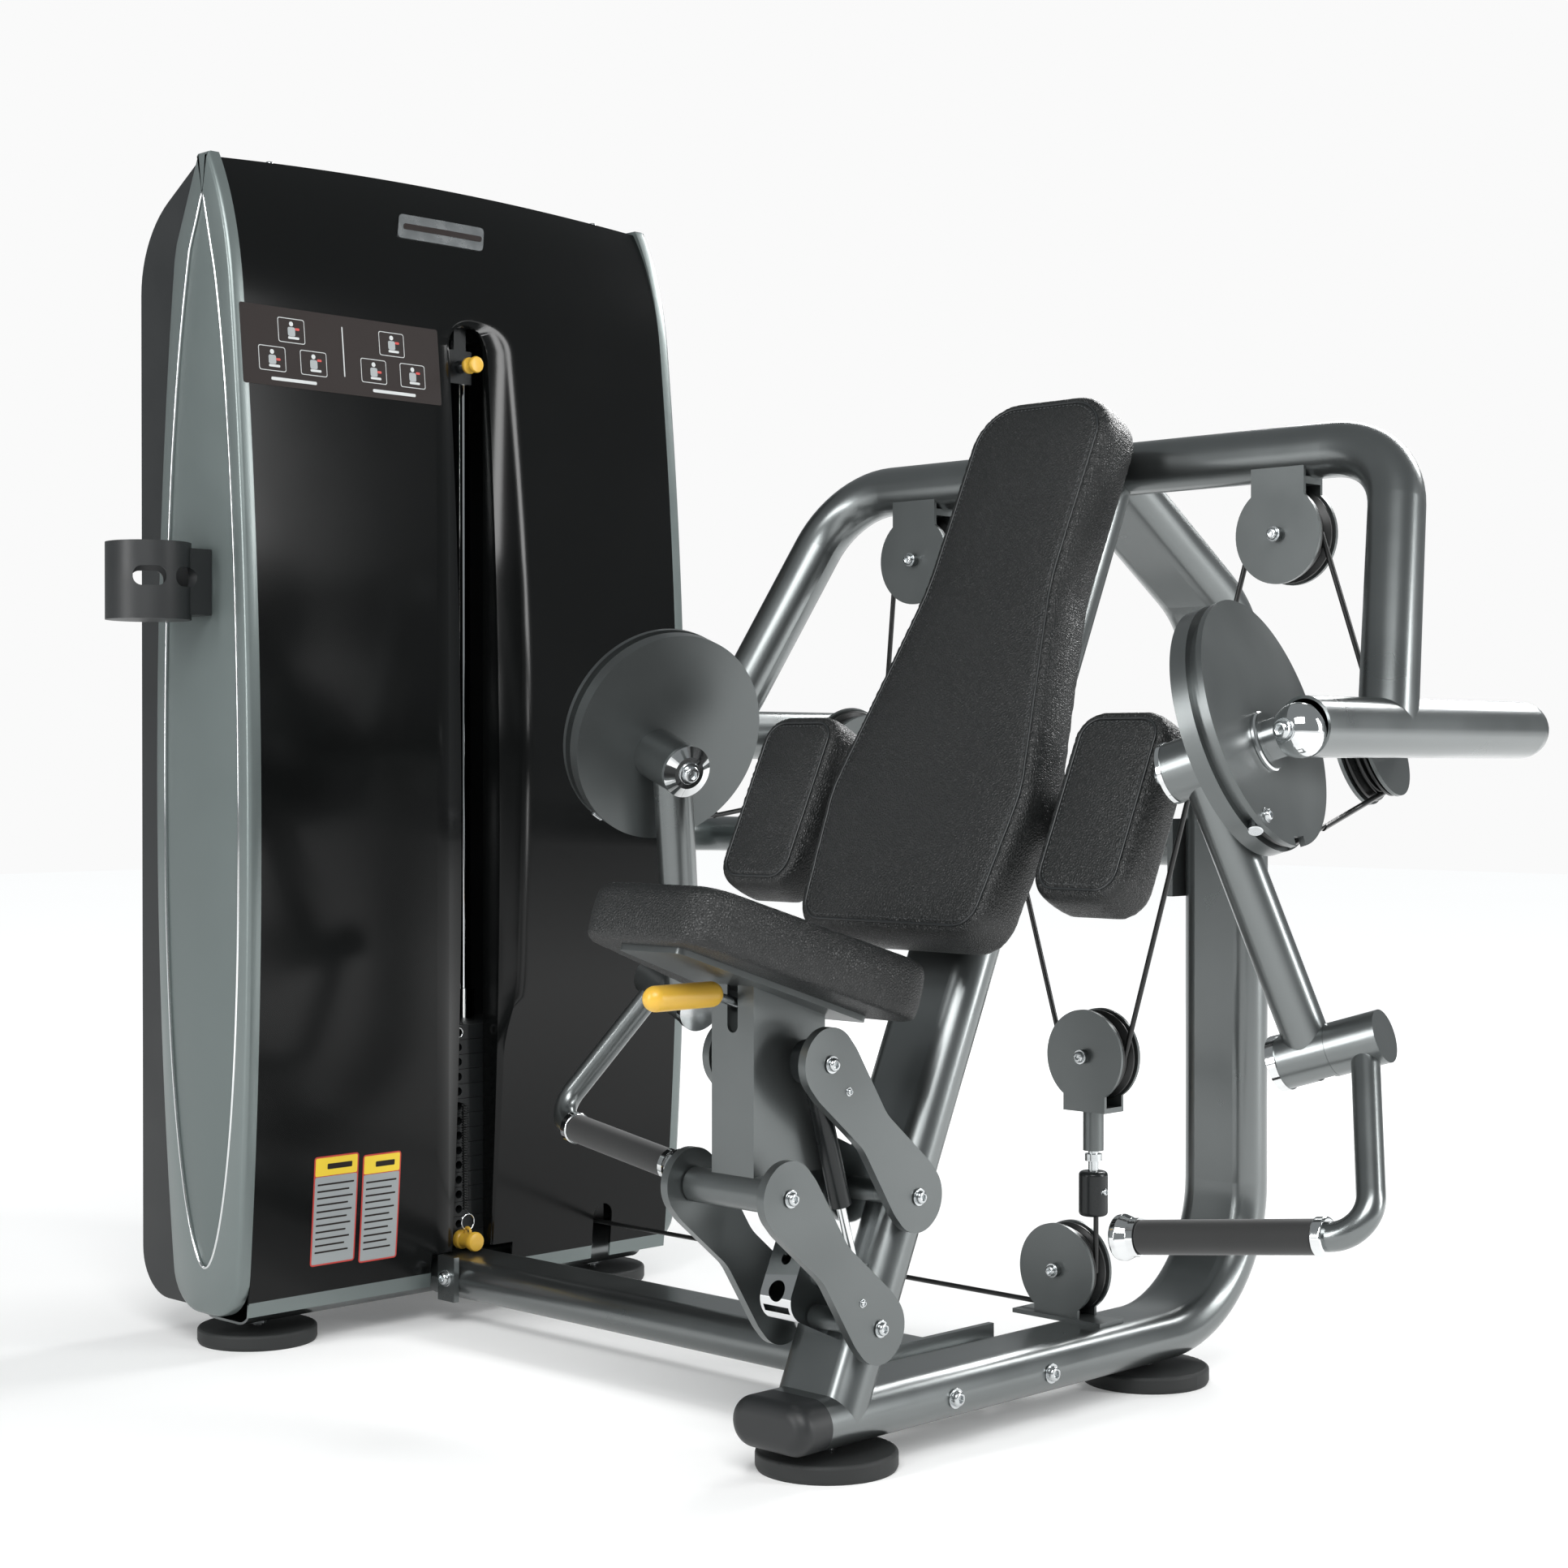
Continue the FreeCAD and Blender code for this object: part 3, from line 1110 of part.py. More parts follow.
def weight_plate(index):
    """One cast plate with guide holes, a bore for the selector rod and its selector hole."""
    low = size("stack_bottom") + index * pitch_z
    length, depth = size("plate_length"), size("plate_depth")
    plate = Part.makeBox(depth, length, plate_z, Vector(stack_x - depth / 2, stack_y - length / 2, low))
    for side in (-1, 1):
        plate = plate.cut(Part.makeCylinder(size("rod_radius") + 1, plate_z,
                                            Vector(stack_x, stack_y + side * spread, low), Z))
    plate = plate.cut(Part.makeCylinder(size("selector_rod") + 1, plate_z, Vector(stack_x, stack_y, low), Z))
    hole = Part.makeCylinder(size("selector_hole"), depth, Vector(stack_x, stack_y, low + plate_z / 2), X)
    return plate.cut(hole)


keep("weight_plates", shaped("plates", Part.makeCompound([weight_plate(i) for i in range(count - 1)])))


def lift_plate():
    """Top plate with its two guide collars."""
    shape = weight_plate(count - 1)
    high = size("stack_bottom") + (count - 1) * pitch_z + plate_z
    for side in (-1, 1):
        centre = Vector(stack_x, stack_y + side * spread, high)
        collar = Part.makeCylinder(size("collar_radius"), size("collar_length"), centre, Z)
        collar = collar.cut(Part.makeCylinder(size("rod_radius") + 1, size("collar_length"), centre, Z))
        shape = shape.fuse(collar)
    return shape


pin_height = size("stack_bottom") + plate_z / 2
pin_radius = size("selector_hole") - 0.5
stack_top = size("stack_bottom") + (count - 1) * pitch_z + plate_z


def selector_rod():
    """Drilled rod through the plates, with the head that the cable is fixed to."""
    radius = size("selector_rod")
    rod = Part.makeCylinder(radius, stack_top - size("stack_bottom"), Vector(stack_x, stack_y, size("stack_bottom")), Z)
    head = Part.makeCylinder(14, 40, Vector(stack_x, stack_y, stack_top), Z)
    rod = rod.fuse(head)
    for index in range(count):
        height = size("stack_bottom") + index * pitch_z + plate_z / 2
        rod = rod.cut(Part.makeCylinder(size("selector_hole"), 40, Vector(stack_x - 20, stack_y, height), X))
    return rod


keep("lift_plate", group("top_plate_and_rod", shaped("top_plate", lift_plate()),
                         shaped("rod_drilled", selector_rod())))


def selector_pin():
    """Pin in the lowest plate, with its round grip."""
    start = Vector(stack_x - 8, stack_y, pin_height)
    shank = Part.makeCylinder(pin_radius, front_face - start.x + 2, start, X)
    knob = Part.makeCylinder(13, 38, Vector(front_face + 1, stack_y, pin_height), X)
    knob = knob.makeFillet(3, knob.Edges)
    return shank.fuse(knob)


keep("selector_pin", shaped("pin", selector_pin()))


def plunger():
    """Spring plunger with a round knob near the top of the slot."""
    start = Vector(front - 66, 222, 1259)
    rod = Part.makeCylinder(4, 34, start, X)
    knob = Part.makeCylinder(11, 22, start + X * 28, X)
    return rod.fuse(knob.makeFillet(3, knob.Edges))


keep("plunger_knob", shaped("plunger_pin", plunger()))


def plunger_bracket():
    """Plate that guides the plunger, fixed on a stem to the upper beam."""
    place = Vector(front - 62, 222, 1259)
    plate = Part.makeBox(8, 40, 44, place - Vector(0, 20, 22))
    barrel = Part.makeCylinder(9, 14, place, X)
    stem = Part.makeBox(8, 20, beam_height - 1259 + 15, place + Vector(0, -10, 0))
    foot = Part.makeBox(place.x + 8 - stack_x - 20, 20, 15, Vector(stack_x + 20, 212, beam_height))
    hole = Part.makeCylinder(4 + size("running_gap"), 80, place - X * 30, X)
    return plate.fuse(barrel).fuse(stem).fuse(foot).cut(hole)


plunger_guide = shaped("plunger_guide", plunger_bracket())
keep("tower_beams", group("beams", shaped("base_beam", base_wall), top_beam, plunger_guide))

# Wheels and cable inside the tower: in at the floor, up, over the top and down to the stack
rise_x = stack_x - upright_half - 5
low_wheel = Vector(rise_x + groove, wheel_y, bottom_wheel.z)
top_wheel_z = beam_height + 90
far_wheel = Vector(rise_x, wheel_y - groove, top_wheel_z)
near_wheel = Vector(stack_x, stack_y + groove, top_wheel_z)
keep("tower_pulleys", group("tower_wheels", wheel("tower_wheel_low", low_wheel, Y),
                            wheel("tower_wheel_far", far_wheel, X), wheel("tower_wheel_near", near_wheel, X)))
floor_strand = strand(Vector(bottom_wheel.x, wheel_y, run_height), Vector(low_wheel.x, wheel_y, run_height))
rise_strand = strand(Vector(rise_x, wheel_y, low_wheel.z), Vector(rise_x, wheel_y, top_wheel_z))
over_strand = strand(far_wheel + Z * (groove + 1), near_wheel + Z * (groove + 1))
keep("floor_cable", shaped("floor_strands", Part.makeCompound([floor_strand, rise_strand, over_strand])))
keep("lift_cable", cylinder("lift_strand", "cable_radius", Vector(stack_x, stack_y, stack_top + 40),
                            Vector(stack_x, stack_y, top_wheel_z)))


def cup_holder():
    """Open cup on a bracket on the near side cover."""
    radius, wall, low = size("cup_radius"), size("cup_wall"), size("cup_bottom")
    centre = Vector(size("cup_x"), near - 14 - radius, low)
    height = size("cup_height")
    cup = Part.makeCylinder(radius, height, centre, Z)
    arm = Part.makeBox(76, 14 + radius, height * 0.86, Vector(centre.x - 38, centre.y, low + height * 0.07))
    inside = Part.makeCylinder(radius - wall, height, centre + Z * wall, Z)
    shape = cup.fuse(arm).cut(inside)
    for turn in (60, 120, 240, 300):
        way = Vector(math.cos(math.radians(turn + 90)), math.sin(math.radians(turn + 90)), 0)
        slot = Part.makeBox(30, 40, 24, Vector(radius - 15, -20, height * 0.42))
        slot.Placement = placed(centre, way, Z)
        shape = shape.cut(slot.makeFillet(11, [e for e in slot.Edges if e.BoundBox.XLength > 25]))
    return shape


keep("cup_holder", shaped("cup", cup_holder()))


def bolt(place, way, radius=9, height=10):
    """Washer and socket head standing on a face."""
    washer = Part.makeCylinder(radius * 1.35, 2, place, way)
    return washer.fuse(Part.makeCylinder(radius, height, place, way))


def frame_bolts():
    heads = []
    for y in (141, 303):
        heads.append(bolt(Vector(half_oval, y, size("rail_height")), X))
    heads.append(bolt(Vector(brace_start, brace_y, size("brace_z") - 46), -X, 7, 9))
    heads.append(bolt(Vector(front - 3, size("bridge_y") - half_oval - 8, rail_low + 32), -Y))
    for y in (-45, 155, 325, 500):
        heads.append(bolt(Vector(front - 104, y, top - 8.5), Z, 5, 6))
    return Part.makeCompound(heads)


keep("frame_bolts", group("bolts", shaped("frame_bolt_heads", frame_bolts()), post_bolts))

# ---------------------------------------------------------------------------------------
# Checks and files
# ---------------------------------------------------------------------------------------
doc.recompute()
for item in doc.Objects:
    if "Invalid" in item.State or "Error" in item.State:
        raise RuntimeError("%s could not be built: %s" % (item.Name, item.State))
for name, item in nodes.items():
    if item.Shape.isNull() or not item.Shape.isValid():
        raise RuntimeError("sub-part %s has no valid shape" % name)

os.makedirs("parts", exist_ok=True)
for name, item in nodes.items():
    item.Shape.exportStep("parts/%s.step" % name)
print("%d sub-parts written" % len(nodes))
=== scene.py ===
# %% [markdown]
# # Seated arm machine with a weight tower
# This file dresses an engineering model.  The model arrives with its steelwork, joints and sizes
# settled, so nothing here moves or resizes it.  Each cell adds a finish or a piece that an
# engineering model leaves out: stuffed pads, socket screws, cable wraps, trims and labels.

# %% Load the engineering model
import bpy
import bmesh
import math
from mathutils import Matrix, Vector
from mathutils.bvhtree import BVHTree
from mathutils.kdtree import KDTree


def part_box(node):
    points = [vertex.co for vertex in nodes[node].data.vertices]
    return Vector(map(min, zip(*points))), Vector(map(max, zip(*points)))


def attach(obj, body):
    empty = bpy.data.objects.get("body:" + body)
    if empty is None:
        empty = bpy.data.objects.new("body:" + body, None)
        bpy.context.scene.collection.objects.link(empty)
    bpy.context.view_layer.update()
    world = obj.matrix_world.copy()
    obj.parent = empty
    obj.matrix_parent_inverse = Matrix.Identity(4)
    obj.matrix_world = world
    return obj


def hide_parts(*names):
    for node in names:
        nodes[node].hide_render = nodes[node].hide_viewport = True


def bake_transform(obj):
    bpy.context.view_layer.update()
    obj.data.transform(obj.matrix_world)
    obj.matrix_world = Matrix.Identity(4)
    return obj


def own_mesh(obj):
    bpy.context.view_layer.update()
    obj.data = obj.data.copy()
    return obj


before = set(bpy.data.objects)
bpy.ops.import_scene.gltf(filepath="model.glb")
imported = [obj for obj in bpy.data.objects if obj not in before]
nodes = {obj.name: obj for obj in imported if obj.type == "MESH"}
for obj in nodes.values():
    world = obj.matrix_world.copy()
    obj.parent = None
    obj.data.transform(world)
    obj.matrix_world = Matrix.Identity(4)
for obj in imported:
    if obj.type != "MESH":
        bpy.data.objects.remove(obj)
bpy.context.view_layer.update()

mm = 0.001
X, Y, Z = Vector((1, 0, 0)), Vector((0, 1, 0)), Vector((0, 0, 1))

# %% [markdown]
# ## Camera, floor and light
# A long lens from just above seat height keeps the tubes straight.  A machine like this is shown
# on a plain pale floor.  Chrome and gloss black have no look of their own, they only show what
# stands round them, so the lamps are big soft panels whose reflections draw the tubes' edges.


# %% Camera
def aimed(place, way):
    """Matrix of a camera or lamp at a place that looks along a way."""
    return Matrix.Translation(place) @ way.to_track_quat("-Z", "Y").to_matrix().to_4x4()


def look(from_point, azimuth, pitch):
    """Rotation of a camera that faces along an azimuth from +Y and a pitch, in degrees."""
    turn, rise = math.radians(azimuth), math.radians(pitch)
    way = Vector((-math.sin(turn) * math.cos(rise), math.cos(turn) * math.cos(rise), math.sin(rise)))
    return aimed(from_point, way)


camera = bpy.data.objects.new("camera", bpy.data.cameras.new("camera"))
camera.data.sensor_width = 36
camera.data.lens = 61.27
camera.matrix_world = look(Vector((1.914, -2.007, 0.734)), 44.56, -0.47)
bpy.context.scene.collection.objects.link(camera)
bpy.context.scene.camera = camera


# %% Floor and soft lamps
def add_node(tree, kind, settings=None, **inputs):
    """Add a node.  settings are its properties; inputs are values or sockets to link, by socket
    name with underscores for blanks, or by place as i0, i1 and so on."""
    node = tree.nodes.new(kind)
    for name, value in (settings or {}).items():
        setattr(node, name, value)
    for name, value in inputs.items():
        by_place = name[0] == "i" and name[1:].isdigit()
        socket = node.inputs[int(name[1:])] if by_place else node.inputs[name.replace("_", " ")]
        if isinstance(value, bpy.types.NodeSocket):
            tree.links.new(value, socket)
        else:
            socket.default_value = value
    return node


def colour(code):
    """Linear RGBA of an sRGB hex colour."""
    parts = [int(code[i:i + 2], 16) / 255 for i in (1, 3, 5)]
    return (*[c / 12.92 if c <= 0.04045 else ((c + 0.055) / 1.055) ** 2.4 for c in parts], 1)


def new_material(name):
    material = bpy.data.materials.new(name)
    material.use_nodes = True
    material.node_tree.nodes.clear()
    return material, material.node_tree


def paint(mesh, finish):
    """Leave a mesh with one finish."""
    mesh.materials.clear()
    mesh.materials.append(finish)


def smooth(mesh, sharp_angle=None):
    """Shade a mesh smooth.  Edges that bend more than an angle in degrees stay sharp."""
    for face in mesh.polygons:
        face.use_smooth = True
    if sharp_angle is not None:
        mesh.set_sharp_from_angle(angle=math.radians(sharp_angle))


def show(name, mesh, finish=None):
    """Put a mesh in the scene as a piece at the origin."""
    piece = bpy.data.objects.new(name, mesh)
    bpy.context.scene.collection.objects.link(piece)
    if finish:
        paint(mesh, finish)
    return piece


def finished(piece, finish, sharp_angle):
    """Give a piece its finish and its smooth shading."""
    paint(piece.data, finish)
    smooth(piece.data, sharp_angle)
    return piece


def riding(piece, body, replaced=None):
    """Say what body a piece moves with and the engineering part it replaces."""
    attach(piece, body)
    if replaced:
        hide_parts(replaced)
    return piece


floor_mesh = bpy.data.meshes.new("floor")
floor_half = 14
floor_mesh.from_pydata([(-floor_half, -floor_half, 0), (floor_half, -floor_half, 0),
                        (floor_half, floor_half, 0), (-floor_half, floor_half, 0)], [], [(0, 1, 2, 3)])
floor_paint, tree = new_material("pale_matt_floor")
place = add_node(tree, "ShaderNodeTexCoord").outputs["Object"]
cloud = add_node(tree, "ShaderNodeTexNoise", Vector=place, Scale=0.7, Detail=2.0)
tint = add_node(tree, "ShaderNodeMix", {"data_type": "RGBA"}, i0=cloud.outputs["Fac"], i6=colour("#F1F1F0"),
                i7=colour("#F6F6F6"))
# Away from the machine the paint glows a little, which stands for the rest of the lit room.
reach = add_node(tree, "ShaderNodeVectorMath", {"operation": "LENGTH"}, i0=place)
glow = add_node(tree, "ShaderNodeMapRange", {"interpolation_type": "SMOOTHSTEP"},
                Value=reach.outputs["Value"], From_Min=1.2, From_Max=5.0, To_Min=0.12, To_Max=0.74)
shader = add_node(tree, "ShaderNodeBsdfPrincipled", Base_Color=tint.outputs[2], Roughness=0.9,
                  Emission_Color=colour("#FFFFFF"), Emission_Strength=glow.outputs[0])
add_node(tree, "ShaderNodeOutputMaterial", Surface=shader.outputs[0])
floor = show("floor", floor_mesh, floor_paint)

# The machine sees a dim grey room, so the lamps' reflections stay crisp; behind it the room is pale.
world = bpy.data.worlds.new("studio")
world.use_nodes = True
tree = world.node_tree
tree.nodes.clear()
room = add_node(tree, "ShaderNodeBackground", Color=colour("#C9CED0"), Strength=0.42)
backdrop = add_node(tree, "ShaderNodeBackground", Color=colour("#FAFAFA"), Strength=1.0)
seen = add_node(tree, "ShaderNodeLightPath").outputs["Is Camera Ray"]
both = add_node(tree, "ShaderNodeMixShader", i0=seen, i1=room.outputs[0], i2=backdrop.outputs[0])
add_node(tree, "ShaderNodeOutputWorld", Surface=both.outputs[0])
bpy.context.scene.world = world
bpy.context.scene.view_settings.view_transform = "Standard"


def softbox(name, place, target, wide, tall, watts):
    lamp = bpy.data.lights.new(name, "AREA")
    lamp.shape, lamp.size, lamp.size_y, lamp.energy = "RECTANGLE", wide, tall, watts
    holder = bpy.data.objects.new(name, lamp)
    holder.matrix_world = aimed(place, Vector(target) - Vector(place))
    bpy.context.scene.collection.objects.link(holder)


softbox("key_panel", (2.2, -2.6, 3.6), (-0.2, 0.2, 0.7), 2.8, 2.0, 165)
softbox("side_panel", (3.4, 2.2, 1.7), (0.2, 0.3, 0.8), 0.7, 2.6, 85)
softbox("tower_panel", (-1.0, -4.4, 1.9), (-0.7, 0.1, 0.8), 0.8, 2.6, 95)
softbox("rim_panel", (-0.6, 3.6, 2.8), (0, 0.4, 0.8), 2.6, 1.0, 120)

# %% [markdown]
# ## Finishes
# Every finish is one shader with three kinds of variation, because no real surface is even: the
# colour drifts a little over a hand's width, the gloss drifts with it, and a fine bump gives the
# skin its texture.  Pattern sizes are real millimetres on Object coordinates, so they stay put
# when a joint moves.


# %% One surface recipe
def mm_scale(size):
    """Texture scale whose pattern repeats every size millimetres."""
    return 1 / (size * mm)


def surface(name, base, shade, rough, rough_spread, grain, bump, cells=False, drift=90, **shader_values):
    """A finish whose colour runs from base to shade over drift millimetres.  grain is the size of
    its skin texture and bump that texture's depth, both in millimetres."""
    material, tree = new_material(name)
    place = add_node(tree, "ShaderNodeTexCoord").outputs["Object"]
    patch = add_node(tree, "ShaderNodeTexNoise", Vector=place, Scale=mm_scale(drift), Detail=3.0)
    tint = add_node(tree, "ShaderNodeMix", {"data_type": "RGBA"}, i0=patch.outputs["Fac"],
                    i6=colour(base), i7=colour(shade))
    gloss = add_node(tree, "ShaderNodeMapRange", Value=patch.outputs["Fac"], From_Min=0.3, From_Max=0.7,
                     To_Min=rough - rough_spread, To_Max=rough + rough_spread)
    if cells:
        skin = add_node(tree, "ShaderNodeTexVoronoi", {"feature": "DISTANCE_TO_EDGE"}, Vector=place,
                        Scale=mm_scale(grain)).outputs["Distance"]
    else:
        skin = add_node(tree, "ShaderNodeTexNoise", Vector=place, Scale=mm_scale(grain),
                        Detail=2.0).outputs["Fac"]
    relief = add_node(tree, "ShaderNodeBump", Height=skin, Distance=bump * mm, Strength=0.6)
    shader = add_node(tree, "ShaderNodeBsdfPrincipled", Base_Color=tint.outputs[2],
                      Roughness=gloss.outputs[0], Normal=relief.outputs[0], **shader_values)
    add_node(tree, "ShaderNodeOutputMaterial", Surface=shader.outputs[0])
    return material


# %% Metals
# Metallic powder coat, sprayed and baked: aluminium flake under a clear skin with slight orange
# peel, so highlights are broad but still crisp along a tube.
powder_coat = surface("silver_powder_coat", "#6F7373", "#797D7D", 0.30, 0.03, 2.2, 0.05,
                      Metallic=0.92, Coat_Weight=0.35, Coat_Roughness=0.12)
# The same coat on flat cut plate, its colour painted a touch darker: painted shade that tones down flat
# faces, which mirror the lamps more broadly than round tubes.
shaded_plate_coat = surface("grey_powder_coated_plate", "#626666", "#6C7070", 0.38, 0.04, 2.6, 0.06,
                     Metallic=0.85, Coat_Weight=0.2, Coat_Roughness=0.2)
# Electroplated chrome on polished steel: an almost perfect mirror with faint polishing haze.
chrome = surface("polished_chrome", "#DADCDD", "#E4E6E6", 0.07, 0.02, 9, 0.01, Metallic=1.0)
# Zinc-plated fasteners: bright but duller than chrome, with a fine plated sparkle.
zinc = surface("zinc_plate", "#BFC3C5", "#CDD0D1", 0.24, 0.05, 1.2, 0.02, Metallic=1.0, drift=14)
# Cast and ground iron plates under matt black paint: pitted skin, low sheen.
black_iron = surface("black_painted_iron", "#17191A", "#202324", 0.48, 0.06, 3.0, 0.12, Metallic=0.1)
# Black lacquered steel of the gas spring and the brackets inside the tower.
black_lacquer = surface("black_lacquer", "#1B1D1E", "#222526", 0.28, 0.03, 4.0, 0.03, Metallic=0.3)

# %% Plastics, rubber and leather
# Glossy black acrylic-capped ABS, vacuum formed: mirror-like with very slow waves.
gloss_black = surface("gloss_black_abs", "#0A0B0B", "#0C0D0D", 0.16, 0.03, 160, 0.12,
                      Specular_IOR_Level=0.22, drift=400)
# Silver-painted ABS of the side covers: satin, slightly blue.
silver_abs = surface("silver_painted_abs", "#6C7574", "#737C7B", 0.34, 0.03, 3.0, 0.02,
                     Metallic=0.55, Coat_Weight=0.3, Coat_Roughness=0.15)
inset_abs = surface("blue_grey_painted_abs", "#5F6867", "#656E6D", 0.42, 0.03, 3.0, 0.02,
                    Metallic=0.35)
# Injection-moulded polypropylene with a spark-eroded grain.
moulded_black = surface("grained_black_polypropylene", "#191B1C", "#202223", 0.46, 0.05, 1.1, 0.08,
                        cells=True)
# Vulcanised rubber for feet and buffers.
rubber = surface("black_rubber", "#1A1C1C", "#232525", 0.62, 0.05, 2.4, 0.05)
# Foam rubber grip, ground to a soft velvety skin.
grip_foam = surface("nitrile_foam_grip", "#151616", "#1C1D1D", 0.74, 0.05, 1.0, 0.09, Sheen_Weight=0.25)
# Cast nylon pulley wheels, turned and slightly greasy.
nylon = surface("black_cast_nylon", "#131414", "#1A1B1B", 0.32, 0.05, 2.0, 0.03)
# Nylon-sheathed wire rope; the lay of the wires just shows through the sheath.
sheath = surface("nylon_cable_sheath", "#0E0F0F", "#141515", 0.34, 0.04, 2.5, 0.08)
# Galvanised wire rope that carries the stack, its bright strands twisted.
steel_wire = surface("galvanised_wire_rope", "#A4A8AA", "#B6BABB", 0.30, 0.05, 1.6, 0.15,
                     Metallic=1.0, drift=8)
# Yellow ABS of every part that a hand adjusts.
yellow_abs = surface("yellow_abs", "#D0A436", "#D9AE42", 0.36, 0.04, 2.0, 0.03, Subsurface_Weight=0.04)

# %% [markdown]
# ## Dressing the carried-over parts
# A metal or plastic part whose engineering shape is already the real one needs only its finish.
# Each finish below lists the parts that leave the same paint booth, plating bath or mould.

# %% Finishes of the carried-over parts
finishes = {
    powder_coat: ["base_rail", "seat_post", "arch_tube", "side_tubes", "bridge_tube", "rear_brace",
                  "right_arm_tube", "left_arm_tube", "right_handle", "left_handle"],
    # Cams, links and flat plates take the same coat with painted shade, a darker copy of it.
    shaded_plate_coat: ["right_cam", "left_cam", "upper_links", "lower_links", "seat_carriage", "post_lugs",
                 "pulley_brackets", "floating_block", "bottom_pulley_bracket"],
    chrome: ["lock_housing", "pivot_shafts", "guide_rods", "gas_spring_rod"],
    zinc: ["foot_studs"],
    black_iron: ["weight_plates", "lift_plate"],
    black_lacquer: ["gas_spring_cylinder", "tower_beams", "tower_uprights", "pad_brackets"],
    moulded_black: ["tower_rear_shell", "rail_end_cap", "cup_holder"],
    rubber: ["foot_pads"],
    nylon: ["right_upper_pulley", "left_upper_pulley", "right_lower_pulley", "left_lower_pulley",
            "floating_pulley", "bottom_pulley", "tower_pulleys"],
    sheath: ["arm_cables", "floor_cable"],
    grip_foam: ["right_grip", "left_grip"],
    yellow_abs: ["seat_lever"],
}
for finish, names in finishes.items():
    for name in names:
        paint(nodes[name].data, finish)
    print(finish.name, "on", len(names), "parts")

# %% [markdown]
# Some engineering parts are an assembly that is welded or pressed together from differently
# finished pieces, such as a painted handle with a chromed end.  The shape stays as it is and a
# rule picks the faces that take the second finish.

# %% Directions that several pieces share
yaw, pitch = math.radians(11.2), math.radians(17.2)
pivot_way = Vector((math.cos(yaw) * math.cos(pitch), math.sin(yaw) * math.cos(pitch), math.sin(pitch)))
ball_centre = Vector((478, 152.5, 764.4)) * mm
hub_inner = ball_centre - pivot_way * 137 * mm
joint_centre = Vector((471.5, 224, 454)) * mm
grip_outer, grip_inner = Vector((524, 114, 291)) * mm, Vector((337, 92, 270)) * mm
grip_way = (grip_inner - grip_outer).normalized()
grip_length = (grip_inner - grip_outer).length


def frame_at(origin, x_way, z_way):
    """Matrix of a local frame whose z lies along z_way and whose x is as near x_way as it can be."""
    z = Vector(z_way).normalized()
    x = (Vector(x_way) - z * Vector(x_way).dot(z)).normalized()
    turn = Matrix((x, z.cross(x), z)).transposed().to_4x4()
    return Matrix.Translation(origin) @ turn


arm_frame = frame_at(hub_inner, Z.cross(pivot_way), pivot_way)
grip_frame = frame_at(grip_outer, Z, grip_way)
joint_frame = frame_at(joint_centre, Z, pivot_way)


def mirror_x(point):
    return Vector((-point.x, point.y, point.z))


# %% Second finishes
def second_finish(name, finish, rule):
    """Give the faces whose middle obeys the rule another finish.  Left parts are tested mirrored."""
    mesh = nodes[name].data
    mesh.materials.append(finish)
    place = len(mesh.materials) - 1
    chosen = 0
    for face in mesh.polygons:
        middle = face.center if not name.startswith("left_") else mirror_x(face.center)
        if rule(middle):
            face.material_index = place
            chosen += 1
    print(name, "takes", finish.name, "on", chosen, "faces")


def across(frame_matrix, point):
    """Distance from a frame's z axis and height along it, in millimetres."""
    local = frame_matrix.inverted() @ point
    return math.hypot(local.x, local.y) / mm, local.z / mm


def is_grip_chrome(point):
    off, along = across(grip_frame, point)
    collar = -12.2 < along < 0.2 and 14.05 < off < 20
    return collar or (along > grip_length / mm - 0.1 and off < 26)


def is_arm_chrome(point):
    off, along = across(joint_frame, point)
    ring = off < 28.2 and -62.2 < along < -52.9
    return ring or across(arm_frame, point)[1] < 0.05


tower_stack_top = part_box("weight_plates")[1].z
for side in ("right_", "left_"):
    second_finish(side + "handle", chrome, is_grip_chrome)
    second_finish(side + "arm_tube", chrome, is_arm_chrome)
rail_top, buffer_top = 84 * mm, 90.2 * mm
lift_plate_thick = 19.8 * mm
sleeve_top, adjuster_top = 260.5 * mm, 284 * mm
second_finish("guide_rods", rubber, lambda p: p.z < buffer_top and p.z > rail_top - 1 * mm)
second_finish("lift_plate", chrome, lambda p: p.z > tower_stack_top + lift_plate_thick)
second_finish("tower_beams", powder_coat, lambda p: p.z < rail_top + 1 * mm)
second_finish("floating_block", black_lacquer, lambda p: p.z < sleeve_top)
second_finish("floating_block", zinc, lambda p: sleeve_top < p.z < adjuster_top)
lever_grip_end = -154.9 * mm
second_finish("seat_lever", zinc, lambda p: p.y > lever_grip_end)

# %% [markdown]
# ## Stuffed pads
# A gym pad is a plywood board, a block of dense foam and a vinyl cover pulled tight over both.
# The cover is sewn from a face panel and a side band, so a welted seam runs round the face and
# pulls the foam in there, while the panels between seams stand out.  That shape is what cloth
# under pressure does by itself: the form below starts a little small, its back and its seam are
# held, and a short cloth run inflates the rest.  The seam's groove, its puckers, its welt and its
# stitches are added afterwards, because they are finer than the cloth's mesh.

